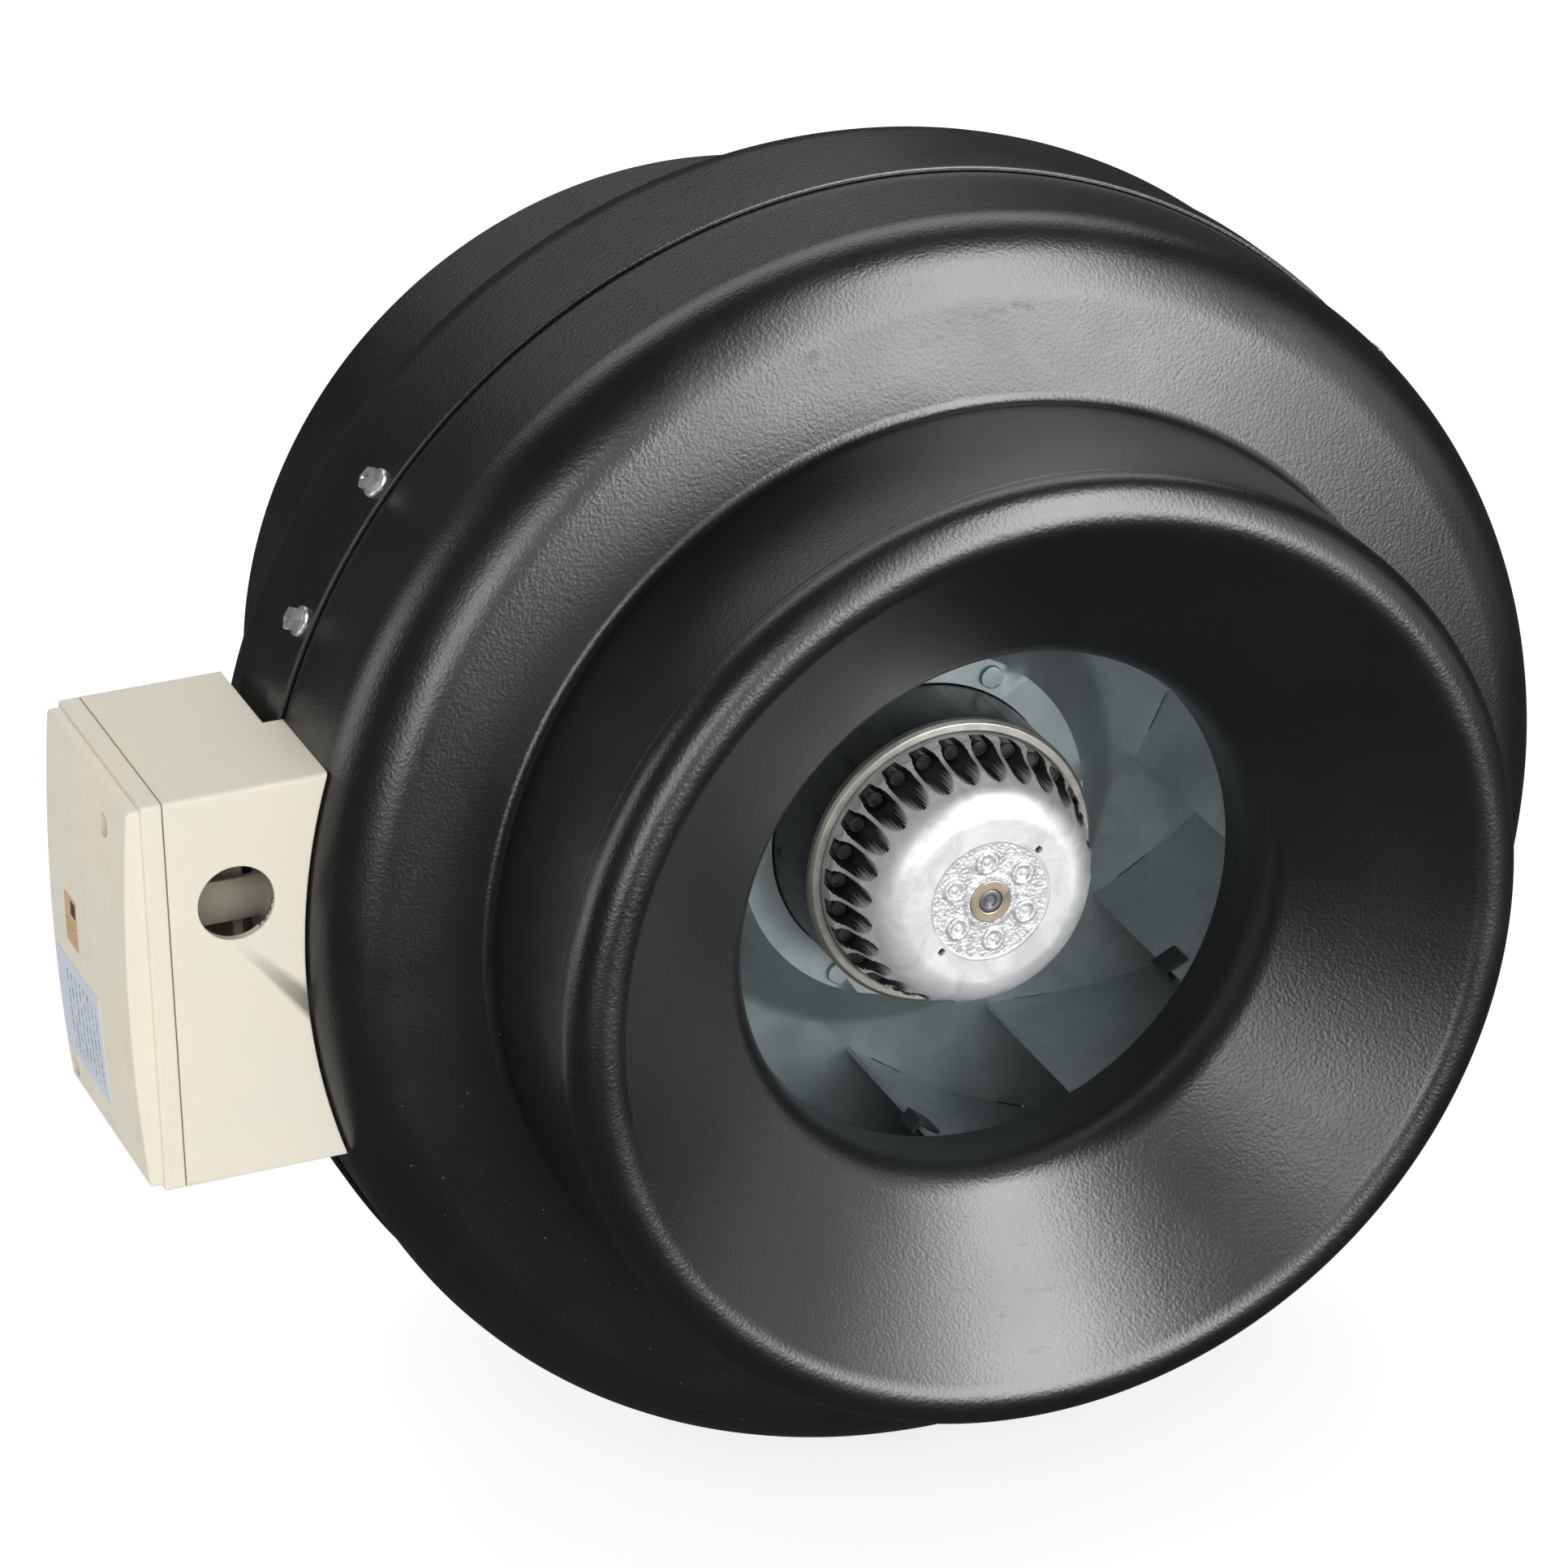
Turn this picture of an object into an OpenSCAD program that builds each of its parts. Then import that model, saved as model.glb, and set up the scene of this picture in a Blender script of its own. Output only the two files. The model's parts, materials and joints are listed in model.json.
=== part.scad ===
// Inline duct fan: two pressed steel shells with a spun inlet nozzle, an external-rotor motor
// with a backward-curved impeller, and a plastic terminal box on the side.
// The fan axis is Y. Air enters at -Y and leaves at +Y. Z is up and the terminal box is on -X.
// The origin lies on the axis, inside the straight wall of the inlet spigot.

/* [Spigots] */
// Outside diameter of both duct spigots
spigot_d = 249; // [200:1:300]
// Inlet lip to the front face of the casing
inlet_len = 56.5; // [45:0.5:70]
// Rear face of the casing to the outlet edge
outlet_len = 82.5; // [40:0.5:110]
// Inlet lip to the origin
origin_from_lip = 24; // [20:0.5:30]

/* [Casing] */
// Largest diameter of the casing
casing_d = 330; // [320:1:360]
// Front face to rear face of the casing
body_len = 109; // [100:1:130]
// Radius of the rounded shoulders
shoulder_r = 20; // [12:1:30]
// Radius of the inner corner between a spigot and its face
root_r = 3; // [2:0.5:8]
// Slope of the faces between spigot and shoulder
face_tilt = 9.8; // [0:0.1:20]
// Sheet thickness of the shells
sheet = 1.2; // [0.8:0.1:1.6]
// Width of the overlap band where the rear shell laps the front shell
band_w = 10; // [8:0.5:14]
// Front face to the front edge of the overlap band
band_from_face = 52.5; // [45:0.5:60]

/* [Inlet nozzle] */
// Inside diameter of the nozzle throat
throat_d = 136; // [120:1:142]
// Radius of the rolled lip
lip_r = 8.6; // [6:0.1:10]
// Radius of the rounding into the throat
throat_round = 14; // [6:1:20]
// Inlet lip to the end of the throat
nozzle_len = 52; // [46:0.5:56]

/* [Motor] */
// Outside diameter of the rotor can
can_d = 76.2; // [70:0.2:80]
// Diameter of the shaft
shaft_d = 8; // [6:0.5:10]
// Number of ribs and pockets around the rotor end cap
cap_pockets = 27; // [18:1:32]
// Radial running clearance of the shaft in its bearings
run_fit = 0.02; // [0.01:0.01:0.08]

/* [Impeller] */
// Outside diameter of the impeller
wheel_d = 225; // [200:1:240]
// Diameter over the leading edges of the blades
eye_d = 139; // [130:1:145]
// Blade angle at the leading edge, from the tangent
blade_in = 30; // [20:1:40]
// Blade angle at the trailing edge, from the tangent
blade_out = 42; // [32:1:55]
// Number of blades
blades = 11; // [11]
// Thickness of the blade sheet
blade_t = 1.2; // [0.8:0.1:2]

/* [Terminal box] */
// Height of the box
box_h = 102.8; // [90:0.2:120]
// Depth of the box along the fan axis
box_d = 67.7; // [60:0.1:80]
// Wall thickness of the box
box_wall = 2.3; // [1.8:0.1:3]
// Diameter of the cable entry
entry_d = 19.2; // [16:0.1:25]
// How far the cover lifts off in the motion test
cover_travel = 50; // [20:5:80]

/* [Hidden] */
rs = spigot_d / 2;
rc = casing_d / 2;
y_lip = -origin_from_lip;
y_face = y_lip + inlet_len;
y_back = y_face + body_len;
y_end = y_back + outlet_len;
root_y = root_r * ((1 - sin(face_tilt)) * tan(face_tilt) - cos(face_tilt));
shoulder_y = shoulder_r * cos(face_tilt)
  + (rc - shoulder_r * (1 - sin(face_tilt)) - rs) * tan(face_tilt);
y_band = y_face + band_from_face;
y_lap = y_band + band_w;
y_screw = y_band + 6;
gap = 0.3;

// nozzle stations
y_bead = y_lip + lip_r;
r_bead = rs - lip_r;
crease_a = 235.3;
r_throat = throat_d / 2;
y_throat = y_lip + nozzle_len;
round_c = [r_throat + throat_round, y_throat - 12];
crease = [r_bead + lip_r * cos(crease_a), y_bead + lip_r * sin(crease_a)];
crease_to_c = norm(round_c - crease);
cone_a = atan2(round_c[1] - crease[1], crease[0] - round_c[0]) - asin(throat_round / crease_to_c);

// motor stations
can_r = can_d / 2;
y_rim = 42.3;
y_cap = y_rim - 23.3;
y_can_end = 100;
y_hub = 66;
y_flange = 103;
y_bracket = 108;
bracket_t = 2.5;

// impeller stations
r1 = eye_d / 2;
r2 = wheel_d / 2;
y_plate = 83;
plate_t = 1.5;
blade_step = 360 / blades;
blade_first = -1.8;
shroud_r = r_throat + 3.2;
shroud_round = 9;
shroud_slope = 12;
y_shroud = y_throat - 4.5;
bend_r = (r2 * r2 - r1 * r1) / (2 * (r2 * cos(blade_out) - r1 * cos(blade_in)));
bend_c = [r1 - bend_r * cos(blade_in), bend_r * sin(blade_in)];

// arms and screw pairs
arm_angles = [147.2, 27.2, 267.2];
pair_half = 6.65;
screw_angles = [for (a = arm_angles, s = [-1, 1]) a + s * pair_half];

// terminal box stations
box_y0 = 51.3;
box_y1 = box_y0 + box_d;
seam_x = -197.9;
rim_t = 5.4;
panel_t = 3.2;
bulge = 2.5;
panel_in = 1.2;
face_x = seam_x - rim_t - panel_t;
panel_h = box_h - 2 * panel_in;
bulge_r = (panel_h * panel_h / 4 + bulge * bulge) / (2 * bulge);
saddle_r = rc + 0.1;
step_r = rc + 5;
y_step = y_band + 0.5;
entry_at = [-181.3, 22.1];
cover_screw_at = [[69.5, 39.9], [113, -45.5]];
box_screw_at = [[68, 30], [68, -30]];
earth_at = [80, -6];

$fn = 96;

// ---- helpers -------------------------------------------------------------------------------

// points of an arc about c, from angle a0 to a1
function arc(c, r, a0, a1, n = 12) = [for (i = [0 : n]) let (a = a0 + (a1 - a0) * i / n)
  c + r * [cos(a), sin(a)]];

function reversed(v) = [for (i = [len(v) - 1 : -1 : 0]) v[i]];

// turns a profile of [radius, y] points about the fan axis
module turned(profile) rotate([-90, 0, 0]) rotate_extrude() polygon(profile);

module disc(r, y0, y1) translate([0, y0, 0]) rotate([-90, 0, 0]) cylinder(r = r, h = y1 - y0);

module tube(r_out, r_in, y0, y1) difference() {
  disc(r_out, y0, y1);
  disc(r_in, y0 - 1, y1 + 1);
}

// places children at an angle about the fan axis, measured from +X towards +Z
module at_angle(a, r = 0, y = 0) rotate([0, -a, 0]) translate([r, y, 0]) children();

// a radial rod at angle a: from radius r0 out to radius r1
module radial(a, y, r0, r1, d) at_angle(a, r0, y) rotate([0, 90, 0]) cylinder(d = d, h = r1 - r0, $fn = 32);

// flat prism whose outline lies in the X-Z plane
module slab(y0, y1) translate([0, y1, 0]) rotate([90, 0, 0]) linear_extrude(y1 - y0) children();

// box between two corners
module between(lo, hi) translate(lo) cube(hi - lo);

// box with its four edges parallel to X rounded
module soft_box(x0, x1, y0, y1, z0, z1, r) translate([x0, 0, 0]) rotate([0, 90, 0])
  linear_extrude(x1 - x0) union() {
    translate([-z1, y0 + r]) square([z1 - z0, y1 - y0 - 2 * r]);
    translate([-z1 + r, y0]) square([z1 - z0 - 2 * r, y1 - y0]);
    for (z = [z0 + r, z1 - r], y = [y0 + r, y1 - r]) translate([-z, y]) circle(r = r, $fn = 32);
  }

// a wire of diameter d through a list of points
module wire(points, d) {
  for (i = [0 : len(points) - 2]) {
    v = points[i + 1] - points[i];
    translate(points[i]) rotate([0, acos(v[2] / norm(v)), atan2(v[1], v[0])])
      cylinder(d = d, h = norm(v));
  }
  for (i = [1 : len(points) - 2]) translate(points[i]) sphere(d = d * 1.06);
}

// pan or hex headed screw along +X, head outwards at x = 0
module screw(d, len, head_d, head_h, hex = false) {
  translate([-len, 0, 0]) rotate([0, 90, 0]) cylinder(d = d, h = len, $fn = 24);
  difference() {
    rotate([0, 90, 0]) cylinder(d = head_d, h = head_h, $fn = hex ? 6 : 32);
    for (a = [0, 90]) rotate([a + 45, 0, 0]) translate([head_h - 1, -0.45, -head_d * 0.3])
      cube([2, 0.9, head_d * 0.6]);
  }
}

// ---- casing --------------------------------------------------------------------------------

// outer side of a shell from its spigot edge, over the shoulder, to the cylinder, t further in
function shell_side(y_edge, y_stop, t) = concat(
  [[rs - t, y_edge]],
  arc([rs + root_r, root_y], root_r + t, 180, 90 + face_tilt),
  arc([rc - shoulder_r, shoulder_y], shoulder_r - t, face_tilt - 90, 0, 16),
  [[rc - t, y_stop]]);

module front_casing() color("#26272a") difference() {
  translate([0, y_face, 0]) turned(concat(
    shell_side(y_bead + 2 - y_face, y_lap - 1 - y_face, 0),
    reversed(shell_side(y_bead + 2 - y_face, y_lap - 1 - y_face, sheet))));
  casing_holes();
}

module rear_casing() color("#26272a") difference() {
  union() {
    translate([0, y_back, 0]) mirror([0, 1, 0]) turned(concat(
      shell_side(y_back - y_end, y_back - y_lap - 1.5, 0),
      reversed(shell_side(y_back - y_end, y_back - y_lap - 1.5, sheet))));
    turned([[rc - sheet, y_lap + 1.5], [rc, y_lap + 1.5], [rc + sheet + 0.1, y_lap],
      [rc + sheet + 0.1, y_band], [rc + 0.1, y_band], [rc + 0.1, y_lap - 0.4],
      [rc - sheet, y_lap + 1]]);
  }
  casing_holes();
  radial(180, lead_y, rc - 5, rc + 5, 12);
}

module casing_holes() {
  for (a = screw_angles) radial(a, y_screw, rc - 8, rc + 5, 3.7);
  for (s = box_screw_at) translate([0, s[0], s[1]]) rotate([0, -90, 0])
    cylinder(d = 3.3, h = rc + 9, $fn = 24);
}

// spun bell mouth: a rolled lip over the spigot edge, a cone and a short cylindrical throat
function nozzle_side(t) = concat(
  arc([r_bead, y_bead], lip_r - t, 0, crease_a - 360, 14),
  arc(round_c, throat_round - t, -90 - cone_a, -180, 10),
  [[r_throat + t, y_throat]]);

module inlet_nozzle() color("#26272a") turned(concat(
  [[r_bead + lip_r, y_bead + 1.8]], nozzle_side(0), reversed(nozzle_side(sheet)),
  [[rs - 2 * sheet - 0.05, y_bead + 1.4], [rs - 2 * sheet - 0.05, y_bead + 12],
   [rs - sheet - 0.05, y_bead + 12], [rs - sheet - 0.05, y_bead + 1.8]]));

module casing_screws() color("#c9ced2") for (a = screw_angles) at_angle(a, rc + sheet + 0.1, y_screw) {
  rotate([0, 90, 0]) cylinder(d = 7.8, h = 0.9, $fn = 48);
  translate([0.9, 0, 0]) screw(3.5, 8, 5.5 / cos(30), 2.7, true);
}

// ---- motor bracket and stator --------------------------------------------------------------

module bracket_outline() difference() {
  union() {
    circle(r = 46);
    for (a = arm_angles) rotate(-a) polygon([[30, -22], [70, -14], [128, -14], [rc - 5, -26],
      [rc - 5, 26], [128, 14], [70, 14], [30, 22]]);
  }
  circle(r = 15);
  for (a = arm_angles) rotate(-a) {
    translate([95, 0]) square([34, 9], center = true);
    translate([22, 0]) circle(r = 4.5, $fn = 24);
  }
}

module motor_bracket() color("#9aa39f") difference() {
  union() {
    translate([0, y_bracket, 0]) rotate([-90, 0, 0]) linear_extrude(bracket_t) bracket_outline();
    for (a = arm_angles) at_angle(a) {
      intersection() {
        tube(rc - sheet - 0.1, rc - sheet - 2.3, y_band - 2, y_bracket + bracket_t);
        between([100, y_band - 3, -26], [rc, y_bracket + 4, 26]);
      }
      for (s = [-1, 1]) between([72, y_bracket + bracket_t - 0.01, s * 11 - 1],
        [113, y_bracket + bracket_t + 4, s * 11 + 1]);
    }
  }
  for (a = screw_angles) radial(a, y_screw, rc - 9, rc + 5, 3.7);
  for (a = bolt_angles) at_angle(a, 30, 0) disc(2.15, y_bracket - 1, y_bracket + 4);
}

bolt_angles = [for (i = [0 : 3]) 42.2 + 90 * i];

module bracket_bolts() color("#c9ced2") for (a = bolt_angles) at_angle(a, 30, 0) {
  disc(2, y_flange, y_bracket + bracket_t + 0.5);
  tube(4.5, 2, y_bracket + bracket_t, y_bracket + bracket_t + 0.8);
  difference() {
    translate([0, y_bracket + bracket_t + 0.8, 0]) rotate([-90, 0, 0])
      cylinder(d = 7 / cos(30), h = 2.8, $fn = 6);
    disc(1.2, y_bracket + bracket_t + 2.6, y_bracket + bracket_t + 5);
  }
}

module stator_flange() color("#b9bdbf") difference() {
  union() {
    disc(44, y_flange, y_bracket);
    tube(14, 11, 45, y_flange + 1);
    for (i = [0 : 11]) at_angle(30 * i + 15)
      between([15, y_flange - 2, -0.8], [36, y_flange + 0.5, 0.8]);
  }
  disc(11, 45, y_flange + 3.5);
  disc(8, y_flange, y_bracket + 1);
  for (a = bolt_angles) at_angle(a, 30, 0) disc(2, y_flange - 3, y_bracket + 1);
  at_angle(arm_angles[0], 22, 0) disc(4, y_flange - 3, y_bracket + 1);
}

// laminated stator with open slots
module stator_core() color("#6f7377") difference() {
  tube(can_r - 4.5, 14, 55, 90);
  for (i = [0 : 11]) at_angle(30 * i) {
    between([can_r - 7, 50, -1.1], [can_r, 95, 1.1]);
    translate([0, 0, 0]) at_angle(0, 24.5, 0) disc(4.2, 50, 95);
  }
}

// end turns of the copper coils, one coil head per tooth, front and back
module stator_windings() color("#a4552a") for (y0 = [48, 90]) difference() {
  turned([[16, y0 + 0.5], [17, y0], [29, y0], [30.5, y0 + 1.5], [30.5, y0 + 5.5], [29, y0 + 7],
    [17, y0 + 7], [16, y0 + 6.5]]);
  for (i = [0 : 11]) at_angle(30 * i + 15, 0, 0) {
    between([26, y0 - 1, -0.6], [32, y0 + 2, 0.6]);
    between([26, y0 + 5, -0.6], [32, y0 + 8, 0.6]);
  }
}

module bearing(y0) color("#8f9599") difference() {
  tube(11, shaft_d / 2 + run_fit, y0, y0 + 7);
  for (y = [y0, y0 + 7]) tube(9.2, 6, y - 0.5, y + 0.5);
}

module front_bearing() bearing(46);
module rear_bearing() bearing(y_flange - 3.5);

// ---- rotor ---------------------------------------------------------------------------------

module rotor_can() color("#141516") union() {
  tube(can_r - 0.1, can_r - 2, y_rim + 2.7, y_can_end);
  difference() {
    tube(46, can_r - 1, y_hub + plate_t, y_hub + plate_t + 2);
    for (i = [0 : 5]) at_angle(60 * i, 42.5, 0) disc(1.65, y_hub, y_hub + 6);
  }
}

module rotor_rim() color("#b7b5a8") turned([[can_r - 3.2, y_rim + 0.3], [can_r - 2.8, y_rim],
  [can_r - 0.8, y_rim], [can_r, y_rim + 0.8], [can_r, y_rim + 2.7], [can_r - 3.2, y_rim + 2.7]]);

// domed end cap: flat face, rounded shoulder, open pockets around the edge, pins on an end ring
module rotor_end_cap() color("#c3c6c8") union() {
  difference() {
    turned(concat([[5.56, y_cap], [20, y_cap]],
      arc([20, y_cap + 9.5], 9.5, -90, -25, 6),
      [[31.5, y_cap + 10], [34.2, y_cap + 20], [34.2, y_rim + 4], [31.5, y_rim + 4],
       [31.5, y_cap + 20], [28.5, y_cap + 10], [24, y_cap + 4], [20, y_cap + 3],
       [9, y_cap + 3], [9, y_cap + 11], [5.56, y_cap + 11]]));
    tube(16.1, 15.5, y_cap - 1, y_cap + 0.4);
    for (i = [0 : cap_pockets - 1]) at_angle(360 * i / cap_pockets) {
      translate([32.2, 0, 0]) disc(2.3, y_cap + 1, y_rim - 3.5);
      between([32.2, y_cap + 1, -2.3], [36, y_rim - 3.5, 2.3]);
    }
    for (a = [41, 221]) at_angle(a, 17.2, 0) disc(0.65, y_cap - 1, y_cap + 2);
    for (i = [0 : 5]) at_angle(34 + 60 * i, 10.9, 0) {
      tube(2.7, 1.9, y_cap - 1, y_cap + 0.5);
      disc(0.7, y_cap - 1, y_cap + 0.8);
    }
  }
  tube(can_r - 3.3, 27, y_rim - 2.5, y_rim + 4);
  for (i = [0 : cap_pockets - 1]) at_angle(360 * i / cap_pockets, 32.6, 0) disc(1.75, y_rim - 8, y_rim - 2);
}

module rotor_core() color("#7d8084") tube(can_r - 2, can_r - 4.1, 52, 94);

module shaft_bush() color("#b59a5b") tube(5.56, 3, y_cap - 0.5, y_cap + 10);

module motor_shaft() color("#4b4d50") union() {
  disc(3, y_cap - 0.2, y_cap + 10);
  difference() {
    disc(shaft_d / 2, y_cap + 10, y_flange + 4.6);
    tube(5, shaft_d / 2 - 0.4, y_flange + 3.7, y_flange + 4.2);
  }
}

module shaft_circlip() color("#3a3b3d") difference() {
  tube(5.8, shaft_d / 2 - 0.4, y_flange + 3.72, y_flange + 4.18);
  between([0, y_flange, -1.2], [9, y_flange + 6, 1.2]);
}

// ---- impeller ------------------------------------------------------------------------------

shroud_c = [shroud_r + shroud_round, y_shroud + 3.5];
shroud_end = shroud_c[1] + shroud_round * cos(shroud_slope)
  + (r2 - shroud_c[0] + shroud_round * sin(shroud_slope)) * tan(shroud_slope);

// the side of the shroud that faces the blades, t further out
function shroud_side(t) = concat([[shroud_r + t, y_shroud]],
  arc(shroud_c, shroud_round - t, 180, 90 + shroud_slope),
  [[r2, shroud_end - t / cos(shroud_slope)]]);

module impeller_shroud() color("#8b9896") turned(concat(shroud_side(0), reversed(shroud_side(blade_t))));

module impeller_back_plate() color("#8b9896") difference() {
  turned([[can_r + 0.3, y_hub], [46.5, y_hub], [60, y_plate - 1.6], [63, y_plate], [r2, y_plate],
    [r2, y_plate + plate_t], [62.4, y_plate + plate_t], [59, y_plate - 0.2], [46, y_hub + plate_t],
    [can_r + 0.3, y_hub + plate_t]]);
  for (i = [1 : blades]) blade_strip(i, 0.9) union() {
    tube(79, 73, y_plate - 1, y_plate + 3);
    tube(104, 98, y_plate - 1, y_plate + 3);
  }
  for (i = [0 : 5]) at_angle(60 * i, 42.5, 0) disc(1.6, y_hub - 1, y_hub + 3);
}

// the part of its children that lies on the curved sheet of blade i
module blade_strip(i, half_t) intersection() {
  children();
  at_angle(blade_first - blade_step * (i - 1)) difference() {
    translate([bend_c[0], 0, bend_c[1]]) disc(bend_r + half_t, 10, 100);
    translate([bend_c[0], 0, bend_c[1]]) disc(bend_r - half_t, 9, 101);
  }
  at_angle(blade_first - blade_step * (i - 1) + atan2(bend_c[1], bend_c[0]))
    between([-150, 5, -150], [150, 105, 0]);
}

module impeller_blade(i) color("#8b9896") blade_strip(i, blade_t / 2) union() {
  turned(concat([[r1, y_plate], [r1, y_throat + 2.5]],
    [for (p = shroud_side(0)) if (p[1] > y_throat + 2.5) p], [[r2, y_plate]]));
  tube(78.5, 73.5, y_plate - 0.5, y_plate + 2.6);
  tube(103.5, 98.5, y_plate - 0.5, y_plate + 2.6);
}

module hub_rivets() color("#a9aeb0") for (i = [0 : 5]) at_angle(60 * i, 42.5, 0) union() {
  disc(1.6, y_hub - 0.5, y_hub + plate_t + 2.5);
  disc(2.9, y_hub - 1.2, y_hub);
  disc(2.9, y_hub + plate_t + 2, y_hub + plate_t + 3.2);
}

// spring clips pushed on two leading edges to balance the wheel
module balance_clips() color("#3c3f40") for (i = [2, 4]) at_angle(blade_first - blade_step * (i - 1))
  translate([r1, 0, 0]) rotate([0, blade_in - 90, 0]) difference() {
    between([-2.1, y_throat + 6.8, -1.9], [5, y_throat + 14.4, 1.9]);
    between([-1.3, y_throat + 6, -blade_t / 2 - 0.45], [7, y_throat + 15, blade_t / 2 + 0.45]);
  }

// ---- terminal box --------------------------------------------------------------------------

lead_y = 104;

// a rod along X at a place [y, z], from x0 to x1
module cross_rod(at, x0, x1, r) translate([x0, at[0], at[1]]) rotate([0, 90, 0])
  cylinder(r = r, h = x1 - x0, $fn = 32);

// the curved solid of the casing plus t under the front part, and clear of the band behind it
module saddle(t) {
  disc(saddle_r + t, box_y0 - 5, y_step + t);
  disc(step_r + t, y_step - 0.5, box_y1 + 5);
}

module terminal_box_base() color("#dedacb") difference() {
  union() {
    difference() {
      soft_box(seam_x, -150, box_y0, box_y1, -box_h / 2, box_h / 2, 1.2);
      difference() {
        between([seam_x - 1, box_y0 + box_wall, -box_h / 2 + box_wall],
          [-140, box_y1 - box_wall, box_h / 2 - box_wall]);
        saddle(2.5);
      }
    }
    intersection() {
      for (s = cover_screw_at) cross_rod(s, seam_x + 1, -150, 4.4);
      between([seam_x, box_y0 + 1, -box_h / 2 + 1], [-150, box_y1 - 1, box_h / 2 - 1]);
    }
    between([-177, 86, 8], [-155, 112, 46]);
    between([-190, 76, 5], [-160, 77.6, 16]);
  }
  saddle(0);
  translate([entry_at[0], 0, entry_at[1]]) disc(entry_d / 2, box_y0 - 1, box_y0 + box_wall + 1);
  for (s = cover_screw_at) cross_rod(s, seam_x - 1, seam_x + 17, 2);
  for (s = box_screw_at) cross_rod(s, -180, -150, 1.9);
  cross_rod(earth_at, -180, -150, 1.6);
  radial(180, lead_y, rc - 5, rc + 12, 12);
}

module box_screws() color("#c9ced2") for (s = box_screw_at)
  translate([-sqrt(pow(saddle_r + 2.5, 2) - s[1] * s[1]) - 0.8, s[0], s[1]]) rotate([0, 0, 180]) union() {
    screw(3.3, 11, 6.6, 2.2);
  }

module terminal_block() color("#e8e6df") difference() {
  union() {
    between([-190, 86, 8], [-177, 110, 44]);
    for (i = [0 : 3]) between([-192, 86, 8 + 11.5 * i], [-189, 110, 9.5 + 11.5 * i]);
  }
  for (i = [0 : 2], y = [91, 105]) cross_rod([y, 15.2 + 11.5 * i], -195, -182, 2.9);
  for (i = [0 : 2]) translate([-185, 0, 15.2 + 11.5 * i]) disc(1.9, 80, 120);
}

module terminal_screws() color("#c8b26a") for (i = [0 : 2], y = [91, 105])
  translate([-188.6, y, 15.2 + 11.5 * i]) rotate([0, 0, 180]) screw(2.6, 5.5, 5, 1.6);

cap_at = [-184.5, -28];

module capacitor() color("#d9dbdc") union() {
  translate([cap_at[0], 57, cap_at[1]]) rotate([-90, 0, 0]) cylinder(r = 11.5, h = 48);
  translate([cap_at[0], 105, cap_at[1]]) rotate([-90, 0, 0]) cylinder(r = 10, h = 2);
  translate([cap_at[0], 54, cap_at[1]]) rotate([-90, 0, 0]) cylinder(r = 10, h = 3);
  for (z = [-4, 4]) translate([cap_at[0], 107, cap_at[1] + z])
    between([-0.4, 0, -2.4], [0.4, 5, 2.4]);
}

module capacitor_clamp() color("#c9ced2") difference() {
  union() {
    translate([cap_at[0], 76, cap_at[1]]) rotate([-90, 0, 0]) cylinder(r = 12.6, h = 9);
    between([-184, 76, -17], [-170, 85, -15]);
  }
  translate([cap_at[0], 70, cap_at[1]]) rotate([-90, 0, 0]) cylinder(r = 11.5, h = 20);
  between([-200, 70, cap_at[1] - 3], [-190, 90, cap_at[1] + 3]);
  disc(saddle_r + 2.6, 50, 120);
}

module lead_grommet() color("#1b1b1b") at_angle(180, 0, lead_y) rotate([0, 90, 0]) difference() {
  union() {
    translate([0, 0, rc - sheet - 2.25]) cylinder(d = 15, h = 2, $fn = 48);
    translate([0, 0, rc - sheet - 0.6]) cylinder(d = 11.9, h = sheet + 8.9, $fn = 48);
    translate([0, 0, step_r + 2.5]) cylinder(d = 15, h = 1.5, $fn = 48);
  }
  translate([0, 0, rc - 6]) cylinder(d = 6, h = 20, $fn = 32);
}

function around(r, a, y) = [r * cos(a), y, r * sin(a)];

// from the windings, out through the flange, along an arm and through the grommet to the terminals
lead_route = [around(22, 147.2, 97), around(22, 147.2, 114.2), around(118, 147.2, 114.2),
  around(148, 163, 113), around(157, 180, 104), around(178, 180, 104), [-183, 113.3, 6],
  [-185, 113.3, 20]];

module motor_lead() color("#2a2a2c") wire(lead_route, 5.6);

module earth_screw() color("#b9a24c")
  translate([-168.1, earth_at[0], earth_at[1]]) rotate([0, 0, 180]) union() {
  screw(3, 2.6, 6, 2);
  translate([-0.4, 0, 0]) rotate([0, 90, 0]) cylinder(d = 8, h = 0.5, $fn = 32);
}

// cover: a rim flush with the base and a slightly bulged raised panel
module panel_solid() slab(box_y0 + panel_in, box_y1 - panel_in) intersection() {
  translate([face_x - bulge - 1, -panel_h / 2]) square([panel_t + bulge + 2, panel_h]);
  translate([face_x - bulge + bulge_r, 0]) circle(r = bulge_r, $fn = 1800);
}

module terminal_box_cover() color("#dedacb") difference() {
  union() {
    soft_box(seam_x - rim_t, seam_x - gap, box_y0, box_y1, -box_h / 2, box_h / 2, 1.2);
    panel_solid();
  }
  difference() {
    between([face_x + 1, box_y0 + box_wall, -box_h / 2 + box_wall],
      [seam_x + 1, box_y1 - box_wall, box_h / 2 - box_wall]);
    for (s = cover_screw_at) cross_rod(s, -215, seam_x - gap, 4.4);
  }
  for (s = cover_screw_at) {
    cross_rod(s, -215, seam_x - 5, 2.9);
    cross_rod(s, -215, seam_x + 1, 1.9);
  }
}

module cover_screws() color("#b9bcbd") for (s = cover_screw_at)
  translate([seam_x - 5, s[0], s[1]]) rotate([0, 0, 180]) screw(3.2, 16, 5.4, 2.4);

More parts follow.
